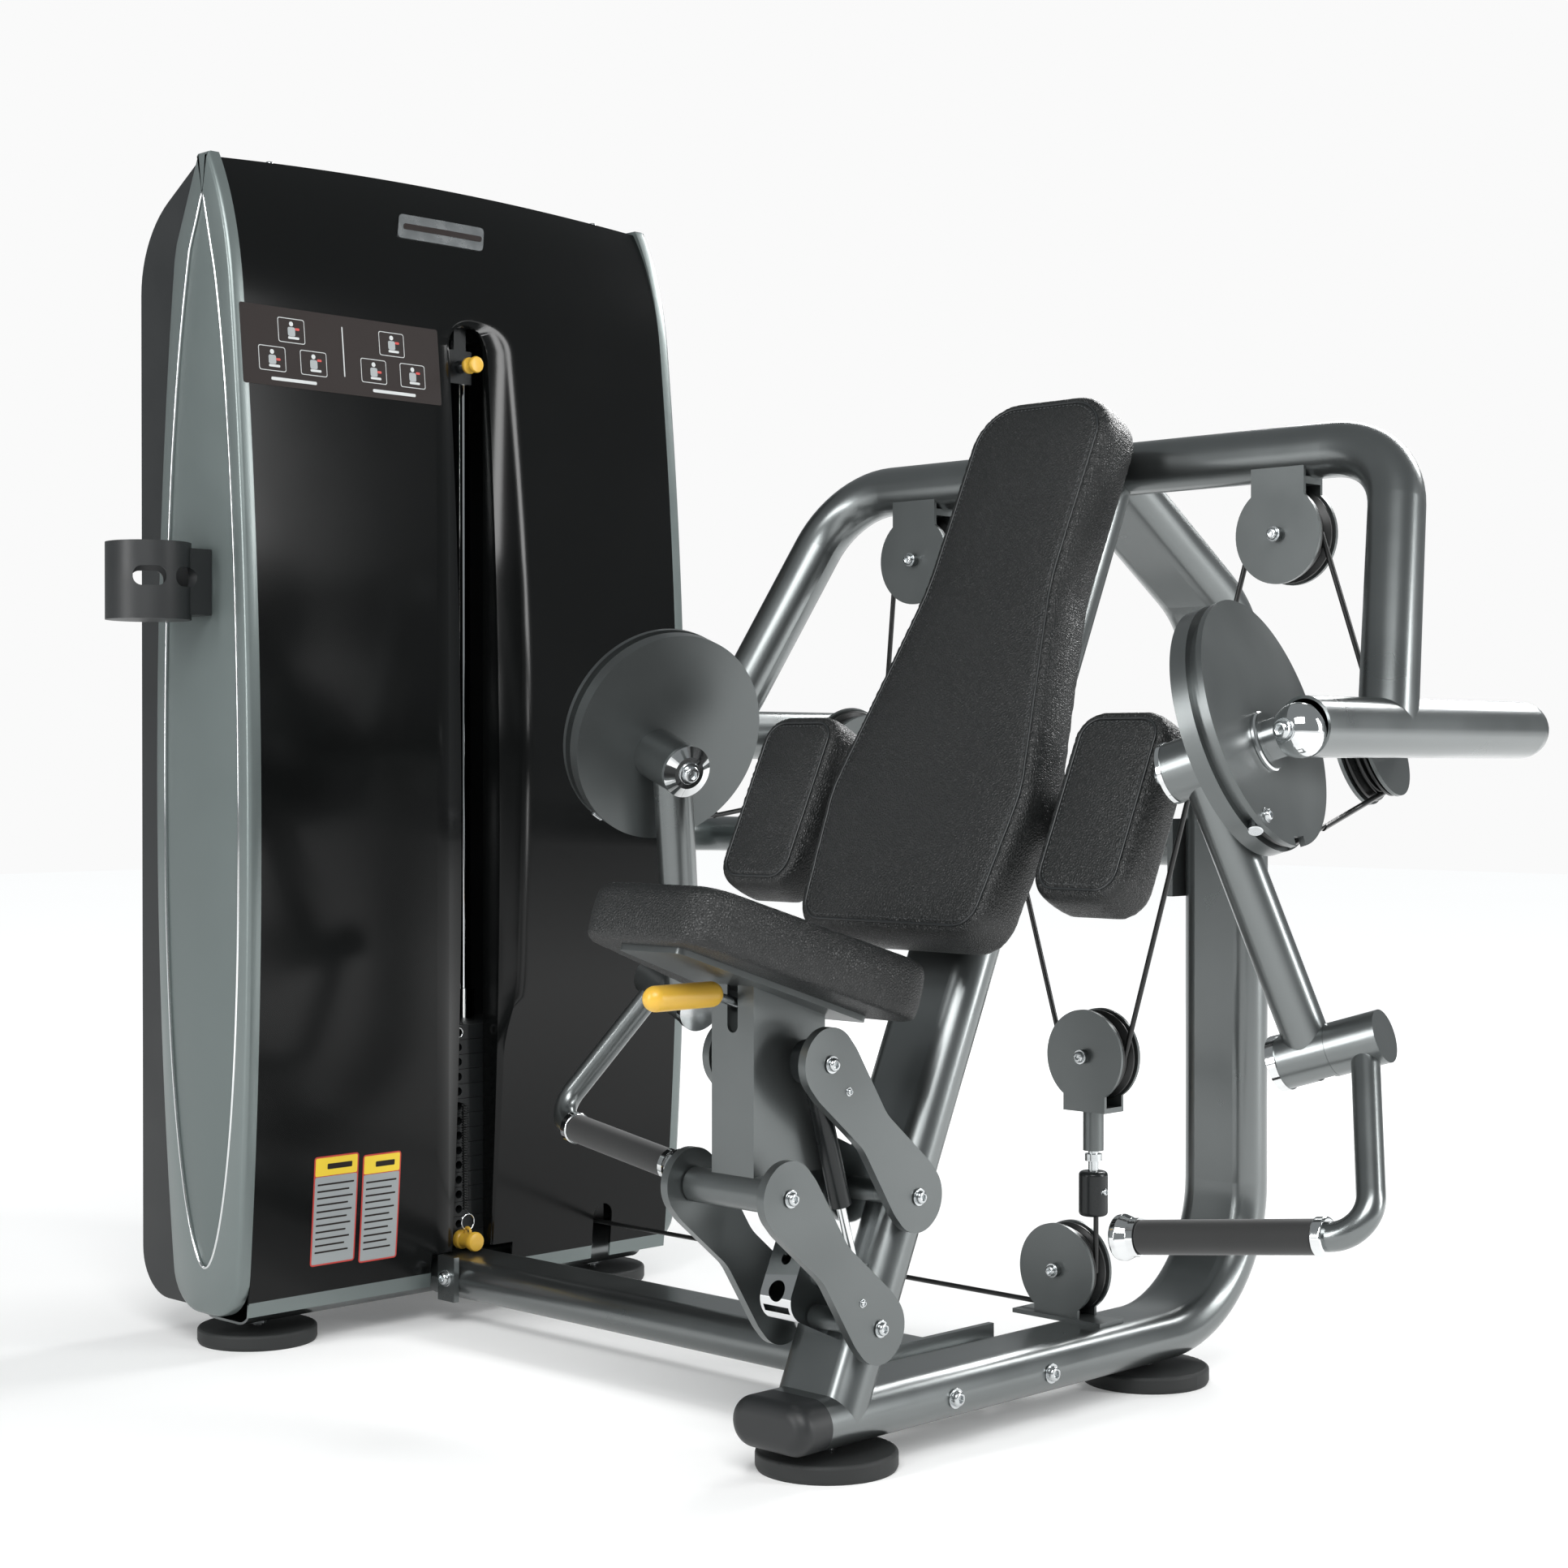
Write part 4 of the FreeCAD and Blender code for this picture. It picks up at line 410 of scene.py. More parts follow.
# %% Leather-look vinyl of the pads
def upholstery_vinyl():
    """Expanded vinyl with an embossed leather grain.  The real grain is about 1 mm; it is drawn
    3 mm coarse so that it shows.  Raised cells polish with use, the valleys between stay matt."""
    material, tree = new_material("upholstery_vinyl")
    place = add_node(tree, "ShaderNodeTexCoord").outputs["Object"]
    warp = add_node(tree, "ShaderNodeTexNoise", Vector=place, Scale=mm_scale(7), Detail=2.0)
    bent = add_node(tree, "ShaderNodeVectorMath", {"operation": "MULTIPLY_ADD"}, i0=warp.outputs["Color"],
                    i1=(0.0022, 0.0022, 0.0022), i2=place)
    cells = add_node(tree, "ShaderNodeTexVoronoi", {"feature": "DISTANCE_TO_EDGE"},
                     Vector=bent.outputs[0], Scale=mm_scale(3.0))
    ridge = add_node(tree, "ShaderNodeMapRange", Value=cells.outputs["Distance"], From_Min=0.0,
                     From_Max=0.28, To_Min=0.0, To_Max=1.0)
    fine = add_node(tree, "ShaderNodeTexNoise", Vector=place, Scale=mm_scale(1.4), Detail=3.0)
    skin = add_node(tree, "ShaderNodeMath", {"operation": "MULTIPLY_ADD"}, i0=fine.outputs["Fac"], i1=0.35,
                    i2=ridge.outputs[0])
    patch = add_node(tree, "ShaderNodeTexNoise", Vector=place, Scale=mm_scale(120), Detail=3.0)
    tint = add_node(tree, "ShaderNodeMix", {"data_type": "RGBA"}, i0=patch.outputs["Fac"],
                    i6=colour("#131515"), i7=colour("#1B1D1D"))
    # Painted shade: the grain's valleys are painted up to half as dark as the raised cells.
    valley_shade = add_node(tree, "ShaderNodeMix", {"data_type": "RGBA", "blend_type": "MULTIPLY"}, i0=0.5,
                    i6=tint.outputs[2], i7=ridge.outputs[0])
    gloss = add_node(tree, "ShaderNodeMapRange", Value=skin.outputs[0], From_Min=0.1, From_Max=1.2,
                     To_Min=0.52, To_Max=0.34)
    relief = add_node(tree, "ShaderNodeBump", Height=skin.outputs[0], Distance=0.5 * mm, Strength=0.8)
    shader = add_node(tree, "ShaderNodeBsdfPrincipled", Base_Color=valley_shade.outputs[2],
                      Roughness=gloss.outputs[0], Normal=relief.outputs[0], Specular_IOR_Level=0.5)
    add_node(tree, "ShaderNodeOutputMaterial", Surface=shader.outputs[0])
    return material


pad_vinyl = upholstery_vinyl()
# Bonded polyester thread and the welt's plain extruded vinyl skin.
thread = surface("charcoal_polyester_thread", "#3A3D3E", "#474A4B", 0.55, 0.04, 0.8, 0.05)
welt_vinyl = surface("black_vinyl_welt", "#1C1E1F", "#252829", 0.38, 0.04, 2.0, 0.05)


# %% Meshes from rows of corners
def strip(form, low, high, closed=False):
    """Faces between two rows of corners, round a ring or along an open strip."""
    return [form.faces.new((low[k - 1], low[k], high[k], high[k - 1]))
            for k in range(0 if closed else 1, len(low))]


def clean(form, gap):
    """Merge corners that lie within gap millimetres and turn the faces outward."""
    bmesh.ops.remove_doubles(form, verts=form.verts, dist=gap * mm)
    bmesh.ops.dissolve_degenerate(form, edges=form.edges, dist=gap * mm)
    bmesh.ops.recalc_face_normals(form, faces=form.faces)


def mesh_of(name, form):
    """The mesh of a form that is then let go."""
    mesh = bpy.data.meshes.new(name)
    form.to_mesh(mesh)
    form.free()
    return mesh


def stacked(name, rings, place=None, scale=1.0):
    """Closed body through a stack of rings, its two ends filled."""
    form = bmesh.new()
    place = place or Matrix.Identity(4)
    levels = [[form.verts.new(place @ (p * scale)) for p in ring] for ring in rings]
    for low, high in zip(levels, levels[1:]):
        strip(form, low, high, closed=True)
    form.faces.new(list(reversed(levels[0])))
    form.faces.new(levels[-1])
    bmesh.ops.recalc_face_normals(form, faces=form.faces)
    return mesh_of(name, form)


# %% Outlines with rounded corners
def outline_of(corners, step=4.0):
    """Points every step millimetres along a closed outline of (x, y, corner radius), anticlockwise,
    each with its outward normal."""
    track = []
    for index, (x, y, radius) in enumerate(corners):
        here = Vector((x, y))
        before = (Vector(corners[index - 1][:2]) - here).normalized()
        after = (Vector(corners[(index + 1) % len(corners)][:2]) - here).normalized()
        half = before.angle(after) / 2
        reach = radius / math.tan(half)
        centre = here + (before + after).normalized() * (radius / math.sin(half))
        start, end = here + before * reach - centre, here + after * reach - centre
        sweep = start.angle_signed(end)
        count = max(2, int(abs(sweep) * radius))
        for k in range(count + 1):
            track.append(centre + Matrix.Rotation(-sweep * k / count, 2) @ start)
    lengths = [(track[(i + 1) % len(track)] - p).length for i, p in enumerate(track)]
    total = sum(lengths)
    count = int(total / step)
    points, walked, edge = [], 0.0, 0
    for k in range(count):
        target = total * k / count
        while walked + lengths[edge] < target:
            walked += lengths[edge]
            edge += 1
        start, end = track[edge], track[(edge + 1) % len(track)]
        points.append(start.lerp(end, (target - walked) / max(lengths[edge], 1e-9)))
    result = []
    for k, point in enumerate(points):
        tangent = (points[(k + 1) % count] - points[k - 1]).normalized()
        result.append((point, Vector((tangent.y, -tangent.x))))
    return result


# %% Foam form and its cloth run
def foam_form(name, place, outline, thick, front_edge, back_edge, shrink):
    """Closed form in a pad's own frame: board at height 0, face at height thick."""
    stations = []
    for k in range(4):
        turn = math.pi / 2 * k / 3
        stations.append((back_edge * (1 - math.sin(turn)), back_edge * (1 - math.cos(turn))))
    for k in range(1, 4):
        share = k / 4
        height = back_edge + (thick - back_edge - front_edge) * share
        stations.append((-1.0 * math.sin(math.pi * share), height))
    for k in range(6):
        turn = math.pi / 2 * k / 5
        stations.append((front_edge * (1 - math.cos(turn)), thick - front_edge * (1 - math.sin(turn))))
    rings = []
    for inset, height in stations:
        lift = min(height, thick - shrink)
        flats = [point - out * (inset + shrink) for point, out in outline]
        rings.append([place @ Vector((flat.x * mm, flat.y * mm, lift * mm)) for flat in flats])
    return show(name, stacked(name, rings))


def flat_place(place, point):
    local = place.inverted() @ point
    return local.x / mm, local.y / mm, local.z / mm


def outline_finder(outline):
    """Search tree of an outline's points, by their place in it."""
    finder = KDTree(len(outline))
    for k, (point, _) in enumerate(outline):
        finder.insert((point.x, point.y, 0), k)
    finder.balance()
    return finder


def modified_mesh(piece):
    """The piece's mesh with its modifiers applied, and the modifiers removed."""
    graph = bpy.context.evaluated_depsgraph_get()
    mesh = bpy.data.meshes.new_from_object(piece.evaluated_get(graph))
    piece.modifiers.clear()
    piece.data = mesh
    return mesh


inflate_frames = 20
board_rim, seam_reach = 3, 4.5


def inflate(piece, place, outline, thick, inset, cap):
    """Cloth run: the board and the seam are held, the panels between them swell up to cap."""
    finder = outline_finder(outline)
    held = piece.vertex_groups.new(name="held")
    start = [v.co.copy() for v in piece.data.vertices]
    for vertex in piece.data.vertices:
        x, y, height = flat_place(place, vertex.co)
        off = finder.find((x, y, 0))[2]
        if height < board_rim:
            held.add([vertex.index], 1.0, "REPLACE")
        elif height > thick / 2 and abs(off - inset) < seam_reach:
            held.add([vertex.index], 0.75, "REPLACE")
    cloth = piece.modifiers.new("inflate", "CLOTH")
    settings = cloth.settings
    settings.quality = 4
    settings.mass = 0.4
    settings.tension_stiffness = settings.compression_stiffness = 12
    settings.shear_stiffness = 6
    settings.bending_stiffness = 1.0
    settings.use_pressure = True
    settings.uniform_pressure_force = 4.0
    settings.vertex_group_mass = "held"
    settings.effector_weights.gravity = 0
    cloth.collision_settings.use_collision = False
    cloth.point_cache.frame_start, cloth.point_cache.frame_end = 1, inflate_frames
    scene = bpy.context.scene
    for number in range(1, inflate_frames + 1):
        scene.frame_set(number)
    modified_mesh(piece)
    scene.frame_set(1)
    moved = 0
    for vertex, origin in zip(piece.data.vertices, start):
        shift = vertex.co - origin
        if shift.length > cap * mm:
            vertex.co = origin + shift * (cap * mm / shift.length)
        moved = max(moved, (vertex.co - origin).length)
    print(piece.name, "swelled by up to", round(moved / mm, 1), "mm")


# %% Sewn seam
def sew(piece, place, outline, thick, inset, groove=1.6, pucker=0.45, pucker_pitch=11):
    """Press the seam's groove into the face and wrinkle the vinyl beside it."""
    finder = outline_finder(outline)
    step = (outline[1][0] - outline[0][0]).length
    piece.data.update()
    normals = [n.vector.copy() for n in piece.data.vertex_normals]
    for vertex, normal in zip(piece.data.vertices, normals):
        x, y, height = flat_place(place, vertex.co)
        if height < thick * 0.55:
            continue
        _, index, off = finder.find((x, y, 0))
        beyond = abs(off - inset)
        wave = math.sin(2 * math.pi * index * step / pucker_pitch + 1.3 * math.sin(index * 0.37))
        depth = groove * math.exp(-(beyond / 2.4) ** 2)
        depth += pucker * wave * math.exp(-((beyond - 4) / 3.5) ** 2)
        vertex.co -= normal * depth * mm


def seam_line(name, piece, place, outline, thick, inset, lift):
    """Closed line of edges that lies lift millimetres proud of the pad's face at an inset."""
    hull = BVHTree.FromPolygons([v.co for v in piece.data.vertices],
                                [tuple(p.vertices) for p in piece.data.polygons])
    points = []
    down = -(place.to_3x3() @ Z)
    for point, out in outline:
        flat = point - out * inset
        above = place @ Vector((flat.x * mm, flat.y * mm, (thick + 40) * mm))
        hit, normal, _, _ = hull.ray_cast(above, down)
        points.append(hit + normal * lift * mm)
    count = len(points)
    smooth = [(points[k - 1] + points[k] * 2 + points[(k + 1) % count]) / 4 for k in range(count)]
    mesh = bpy.data.meshes.new(name)
    mesh.from_pydata(smooth, [(k, (k + 1) % count) for k in range(count)], [])
    return mesh


# %% [markdown]
# Welts and stitches follow the seam line, so Geometry Nodes grow them: one tree sweeps a round
# section along a line, the other spaces short capsules along it.  The same two trees later make
# cables, trims and lanyards.

# %% Trees that sweep a section and space capsules along a line
def tree_with(name, sockets):
    """Geometry tree with a geometry input and output and named extra inputs."""
    tree = bpy.data.node_groups.new(name, "GeometryNodeTree")
    tree.interface.new_socket("Geometry", in_out="INPUT", socket_type="NodeSocketGeometry")
    tree.interface.new_socket("Geometry", in_out="OUTPUT", socket_type="NodeSocketGeometry")
    for label, kind in sockets:
        tree.interface.new_socket(label, in_out="INPUT", socket_type="NodeSocket" + kind)
    return tree, add_node(tree, "NodeGroupInput")


def ended(tree, given, last):
    """End a tree by giving what its last node made the finish that came in."""
    dyed = add_node(tree, "GeometryNodeSetMaterial", Geometry=last.outputs[0],
                    Material=given.outputs["Material"])
    add_node(tree, "NodeGroupOutput", Geometry=dyed.outputs[0])
    return tree


def sweep_tree():
    tree, given = tree_with("sweep_round_section", [("Radius", "Float"), ("Sides", "Int"),
                                                    ("Material", "Material")])
    line = add_node(tree, "GeometryNodeMeshToCurve", Mesh=given.outputs["Geometry"])
    ring = add_node(tree, "GeometryNodeCurvePrimitiveCircle", Resolution=given.outputs["Sides"],
                    Radius=given.outputs["Radius"])
    tube = add_node(tree, "GeometryNodeCurveToMesh", Curve=line.outputs[0], Profile_Curve=ring.outputs[0],
                    Fill_Caps=True)
    soft = add_node(tree, "GeometryNodeSetShadeSmooth", Geometry=tube.outputs[0])
    real = add_node(tree, "GeometryNodeRealizeInstances", Geometry=soft.outputs[0])
    return ended(tree, given, real)


def stitch_tree():
    sizes = [(label, "Float") for label in ("Pitch", "Length", "Radius")]
    tree, given = tree_with("space_stitches", sizes + [("Material", "Material")])
    line = add_node(tree, "GeometryNodeMeshToCurve", Mesh=given.outputs["Geometry"])
    even = add_node(tree, "GeometryNodeResampleCurve", {"mode": "LENGTH"}, Curve=line.outputs[0],
                    Length=given.outputs["Pitch"])
    bead = add_node(tree, "GeometryNodeMeshUVSphere", Segments=6, Rings=5, Radius=given.outputs["Radius"])
    ratio = add_node(tree, "ShaderNodeMath", {"operation": "DIVIDE"}, i0=given.outputs["Length"],
                     i1=given.outputs["Radius"])
    half = add_node(tree, "ShaderNodeMath", {"operation": "MULTIPLY"}, i0=ratio.outputs[0], i1=0.5)
    shape = add_node(tree, "ShaderNodeCombineXYZ", X=1.0, Y=1.0, Z=half.outputs[0])
    along = add_node(tree, "GeometryNodeInputTangent")
    turn = add_node(tree, "FunctionNodeAlignRotationToVector", {"axis": "Z"}, Vector=along.outputs[0])
    set_out = add_node(tree, "GeometryNodeInstanceOnPoints", Points=even.outputs[0],
                       Instance=bead.outputs[0], Rotation=turn.outputs[0], Scale=shape.outputs[0])
    real = add_node(tree, "GeometryNodeRealizeInstances", Geometry=set_out.outputs[0])
    soft = add_node(tree, "GeometryNodeSetShadeSmooth", Geometry=real.outputs[0])
    return ended(tree, given, soft)


sweep_round = sweep_tree()
space_stitches = stitch_tree()


def grown(name, mesh, tree, **sizes):
    """Grow a tree on a mesh and return the plain piece.  sizes are the tree's inputs by name."""
    piece = show(name, mesh)
    modifier = piece.modifiers.new("grow", "NODES")
    modifier.node_group = tree
    keys = {item.name.replace(" ", "_"): item.identifier for item in tree.interface.items_tree
            if item.in_out == "INPUT"}
    for label, value in sizes.items():
        modifier[keys[label]] = value
    modified_mesh(piece)
    return piece


def polyline(name, points, closed):
    count = len(points)
    edges = [(k, k + 1) for k in range(count - 1)] + ([(count - 1, 0)] if closed else [])
    mesh = bpy.data.meshes.new(name)
    mesh.from_pydata([tuple(p) for p in points], edges, [])
    return mesh


def swept(name, points, closed, radius, sides, finish):
    """Round wire or cord along points in metres, its radius in millimetres."""
    return grown(name, polyline(name, points, closed), sweep_round, Radius=radius * mm, Sides=sides,
                 Material=finish)


def joined(name, pieces):
    """One piece from several meshes, each keeping its finishes."""
    form = bmesh.new()
    finish_list = []
    for piece in pieces:
        offset = len(form.faces)
        slots = []
        for finish in piece.data.materials:
            if finish not in finish_list:
                finish_list.append(finish)
            slots.append(finish_list.index(finish))
        form.from_mesh(piece.data)
        form.faces.ensure_lookup_table()
        for face in form.faces[offset:]:
            face.material_index = slots[face.material_index] if slots else 0
        bpy.data.objects.remove(piece)
    result = show(name, mesh_of(name, form))
    for finish in finish_list:
        result.data.materials.append(finish)
    return result


# %% One finished pad
def make_pad(name, node, body, place, corners, thick, edge, inset, voxel):
    """Foam form, cloth run, seam, welt and stitches of one pad, riding on its body."""
    outline = outline_of(corners)
    pad = foam_form(name, place, outline, thick, edge, 7, shrink=2.5)
    remesh = pad.modifiers.new("remesh", "REMESH")
    remesh.mode, remesh.voxel_size = "VOXEL", voxel * mm
    modified_mesh(pad)
    inflate(pad, place, outline, thick, inset, cap=6)
    divide = pad.modifiers.new("divide", "SUBSURF")
    divide.levels = divide.render_levels = 1
    modified_mesh(pad)
    sew(pad, place, outline, thick, inset)
    paint(pad.data, pad_vinyl)
    smooth(pad.data)
    welt = grown(name + "_welt", seam_line(name, pad, place, outline, thick, inset, 0.5), sweep_round,
                 Radius=1.5 * mm, Sides=8, Material=welt_vinyl)
    stitches = grown(name + "_stitches", seam_line(name, pad, place, outline, thick, inset + 4.5, 0.2),
                     space_stitches, Pitch=5.5 * mm, Length=3.6 * mm, Radius=0.55 * mm, Material=thread)
    for piece, replaced in ((welt, None), (stitches, None), (pad, node)):
        riding(piece, body, replaced)
    print(name, "has", len(pad.data.polygons), "faces")
    return pad, welt, stitches


# %% The four pads
recline, tilt = math.radians(25.5), math.radians(18.9)
back_front = Vector((0, -math.cos(recline), math.sin(recline)))
back_thick, side_thick, seat_thick = 64, 60, 62
back_place = frame_at(Vector((0, 76, 553)) * mm - back_front * back_thick * mm, X, back_front)
back_corners = [(-134, 0, 42), (134, 0, 42), (150, 170, 160), (102, 420, 300), (102, 665, 62),
                (-102, 665, 62), (-102, 420, 300), (-150, 170, 160)]
make_pad("backrest_cushion", "backrest_pad", "frame", back_place, back_corners, back_thick, edge=18,
         inset=15, voxel=6)

seat_up = Vector((0, math.sin(tilt), math.cos(tilt)))
seat_place = frame_at(Vector((0, 28, 526)) * mm - seat_up * seat_thick * mm, -X, seat_up)
seat_corners = [(-150, 0, 42), (150, 0, 42), (92, 296, 46), (-92, 296, 46)]
make_pad("seat_cushion", "seat_pad", "seat", seat_place, seat_corners, seat_thick, edge=16, inset=15,
         voxel=5)

side_place = frame_at(Vector((230, 156, 694)) * mm - back_front * side_thick * mm, X, back_front)
side_corners = [(-62.5, -110, 36), (62.5, -110, 36), (62.5, 110, 36), (-62.5, 110, 36)]
right_pad = make_pad("right_arm_cushion", "right_side_pad", "frame", side_place, side_corners, side_thick,
                     edge=16, inset=14, voxel=5)


def mirrored_copy(piece, name):
    """The same piece on the other side of the machine's mid-plane, with its faces outward."""
    mesh = piece.data.copy()
    mesh.transform(Matrix.Scale(-1, 4, X))
    mesh.flip_normals()
    return show(name, mesh)


for piece, replaced in zip(right_pad, ("left_side_pad", None, None)):
    twin = mirrored_copy(piece, piece.name.replace("right_", "left_"))
    riding(twin, "frame", replaced)

# %% [markdown]
# ## Weight tower
# The tower is a vacuum-formed front panel between two painted side covers.  Seen from the side the
# panel bows forward and then leans back at the top in one fair curve.  The slot that shows the
# weights is scooped: on its far side the panel dives inward along a sloped wall.

# %% Curves of the tower
def bow(low, middle, high):
    """x as a function of z on the circle through three (x, z) points."""
    (ax, az), (bx, bz), (cx, cz) = low, middle, high
    d = 2 * (ax * (bz - cz) + bx * (cz - az) + cx * (az - bz))
    ox = ((ax**2 + az**2) * (bz - cz) + (bx**2 + bz**2) * (cz - az) + (cx**2 + cz**2) * (az - bz)) / d
    oz = ((ax**2 + az**2) * (cx - bx) + (bx**2 + bz**2) * (ax - cx) + (cx**2 + cz**2) * (bx - ax)) / d
    radius = math.hypot(bx - ox, bz - oz)
    side = 1 if bx > ox else -1
    return lambda z: ox + side * math.sqrt(radius**2 - (z - oz)**2)


tower_top, lean_start = 1500, 1300
rear_lean_start, rear_lean = 1379, 53
cover_foot, cover_top, corner = 45, 1493, 50
front_bow = bow((-862, 45), (-832, 720), (-878, 1400))
rear_bow = bow((-997, 45), (-1040, 750), (-996, 1379))


def front_x(z):
    """Front of the tower at a height: the bow, then a fair curve that leans back to the top edge."""
    if z <= lean_start:
        return front_bow(z)
    start, knee, tip = (front_bow(lean_start), lean_start), (-876.5, 1420), (-925, tower_top)
    a, b, c = start[1] - 2 * knee[1] + tip[1], 2 * (knee[1] - start[1]), start[1] - min(z, tower_top)
    t = (-b + math.sqrt(b * b - 4 * a * c)) / (2 * a)
    return start[0] * (1 - t)**2 + 2 * knee[0] * t * (1 - t) + tip[0] * t * t


def rear_x(z):
    if z <= rear_lean_start:
        return rear_bow(z)
    return -996 + (z - rear_lean_start) / (cover_top - rear_lean_start) * rear_lean


def blend_keys(keys, z):
    """Value at z on smooth steps between (z, value) keys in rising order of z."""
    for (z0, v0), (z1, v1) in zip(keys, keys[1:]):
        if z <= z1:
            t = min(1, max(0, (z - z0) / (z1 - z0)))
            return v0 + (v1 - v0) * t * t * (3 - 2 * t)
    return keys[-1][1]


def spread(low, high, count):
    return [low + (high - low) * k / (count - 1) for k in range(count)]


panel_near, panel_far, panel_foot, band_top = -130, 568, 48, 66
slot_round, slot_peak, slot_peak_y = 1281, 1320, 228
inner_plane, inner_near, inner_far, inner_round, inner_radius = -868, 187, 250, 1280, 31.5
far_edge_keys = [(90, 254), (345, 258), (452, 281), (885, 289), (slot_round, 284)]
bridge_notch, notch_near, notch_far = 90, 152, 288
arch_y, arch_half, arch_spring = 448, 17, 106
near_wall, near_splay = 186, 0.72
crown_drop, panel_middle, panel_half = 12, 219, 349


def near_edge(z):
    """The near wall splays outward as the panel bulges ahead of the inner frame."""
    return near_wall - near_splay * (front_x(z) - inner_plane)


def slot_edges(z):
    """Near and far edge of the opening in the panel's surface at a height."""
    if z < bridge_notch:
        return notch_near, notch_far
    if z < slot_round:
        return near_edge(z), blend_keys(far_edge_keys, z)
    rise = math.sqrt(max(0, 1 - ((z - slot_round) / (slot_peak - slot_round))**2))
    near = near_edge(slot_round)
    far = far_edge_keys[-1][1]
    return slot_peak_y - (slot_peak_y - near) * rise, slot_peak_y + (far - slot_peak_y) * rise


def arch_width(z):
    if z < arch_spring:
        return arch_half
    return math.sqrt(max(0, arch_half**2 - (z - arch_spring)**2))


def on_panel(y, z, lift=0.0):
    """Point on the panel's front at a width and height, lift millimetres proud of it.  The top edge
    is highest in the middle."""
    crown = max(0, z - lean_start) / (tower_top - lean_start) * crown_drop
    crown *= ((y - panel_middle) / panel_half)**2
    slope = (front_x(z + 1) - front_x(z - 1)) / 2
    away = Vector((1, 0, -slope)).normalized()
    return (Vector((front_x(z), y, z - crown)) + away * lift) * mm


# %% Front panel with its scooped slot
def front_panel():
    levels = [panel_foot, band_top - 2, band_top, bridge_notch - 0.1, bridge_notch + 0.1]
    levels += [arch_spring + arch_half * math.sin(math.pi / 2 * k / 6) for k in range(7)]
    levels += spread(140, slot_round, 58)
    levels += [slot_round + (slot_peak - slot_round) * math.sin(math.pi / 2 * k / 14) for k in range(1, 15)]
    levels += spread(slot_peak + 8, tower_top, 20)
    form = bmesh.new()
    rows = []
    for z in levels:
        near, far = slot_edges(z)
        wide = arch_width(z)
        blocks = [spread(panel_near, near, 16), spread(far, arch_y - wide, 10),
                  spread(arch_y + wide, panel_far, 8)]
        rows.append([[form.verts.new(on_panel(y, z)) for y in block] for block in blocks])
    for low, high in zip(rows, rows[1:]):
        for block_low, block_high in zip(low, high):
            strip(form, block_low, block_high)
    # The scoop is a strip from the opening's edge down to the inner frame.
    heights = [z for z in levels if bridge_notch < z <= slot_peak]
    loop = [(z, "near") for z in heights] + [(z, "far") for z in reversed(heights[:-1])]
    rings = []
    for z, side in loop:
        edge = slot_edges(z)[0 if side == "near" else 1]
        inner_y, inner_z = (inner_near if side == "near" else inner_far), z
        if z > slot_round:
            share = (z - slot_round) / (slot_peak - slot_round)
            reach = inner_radius * math.sqrt(max(0, 1 - share**2))
            inner_y = 218.5 + (-reach if side == "near" else reach)
            inner_z = inner_round + inner_radius * share
        depth = front_x(z) - inner_plane
        outer = on_panel(edge, z)
        inner = Vector((inner_plane, inner_y, inner_z)) * mm
        wall = inner + Vector((depth * 0.78, 1.5 if side == "far" else 0, 0)) * mm
        lip = outer.lerp(wall, min(0.5, 2.5 * mm / max((wall - outer).length, 1e-6)))
        lip -= Vector((0.9 * mm, 0, 0))
        rings.append([outer, lip, wall, wall.lerp(inner, 0.08), inner, inner - Vector((5 * mm, 0, 0))])
    for ring, following in zip(rings, rings[1:]):
        strip(form, [form.verts.new(p) for p in ring], [form.verts.new(p) for p in following])
    clean(form, 0.02)
    if sum(face.normal.x * face.calc_area() for face in form.faces) < 0:
        bmesh.ops.reverse_faces(form, faces=form.faces)
    panel = show("tower_front_skin", mesh_of("tower_front_skin", form))
    shell = panel.modifiers.new("shell", "SOLIDIFY")
    shell.thickness, shell.offset = 3 * mm, -1
    modified_mesh(panel)
    panel = finished(panel, gloss_black, 35)
    panel.data.materials.append(silver_abs)
    for face in panel.data.polygons:
        face.material_index = 1 if face.center.z < (band_top - 1) * mm else 0
    return panel


riding(front_panel(), "frame", "tower_front_panel")

# %% [markdown]
# Each side cover is a tall leaf with softened edges.  A long recessed panel follows its outline,
# and a bright trim wire lies in the step between the two.

# %% Side covers
leaf_foot, leaf_top, leaf_margin = 105, 1440, 24


def cover_outline():
    """(x, z) round the cover: front edge upward, then rear edge downward, index for index with
    leaf_outline."""
    front, rear = [], []
    for k in range(64):
        z = (cover_foot + cover_top) / 2 + (cover_top - cover_foot) / 2 * math.sin(math.pi * (k / 63 - 0.5))
        rise = min(corner, z - cover_foot)
        cut = corner - math.sqrt(corner**2 - (corner - rise)**2)
        front.append((front_x(z) - cut, z))
        rear.append((rear_x(z) + cut, z))
    return front + rear[::-1]


def leaf_outline(grow):
    front, rear = [], []
    for k in range(64):
        u = math.sin(math.pi * (k / 63 - 0.5))
        z = (leaf_foot + leaf_top) / 2 + ((leaf_top - leaf_foot) / 2 + grow) * u
        centre = (front_x(z) + rear_x(z)) / 2
        half = ((front_x(z) - rear_x(z)) / 2 - leaf_margin + grow) * math.sqrt(max(0, 1 - abs(u)**5))
        front.append((centre + half, z))
        rear.append((centre - half, z))
    return front + rear[::-1]


def inset_outline(outline, depth):
    result = []
    for k, (x, z) in enumerate(outline):
        before, after = outline[k - 1], outline[(k + 1) % len(outline)]
        way = Vector((after[0] - before[0], after[1] - before[1])).normalized()
        result.append((x - way.y * depth, z + way.x * depth))
    return result


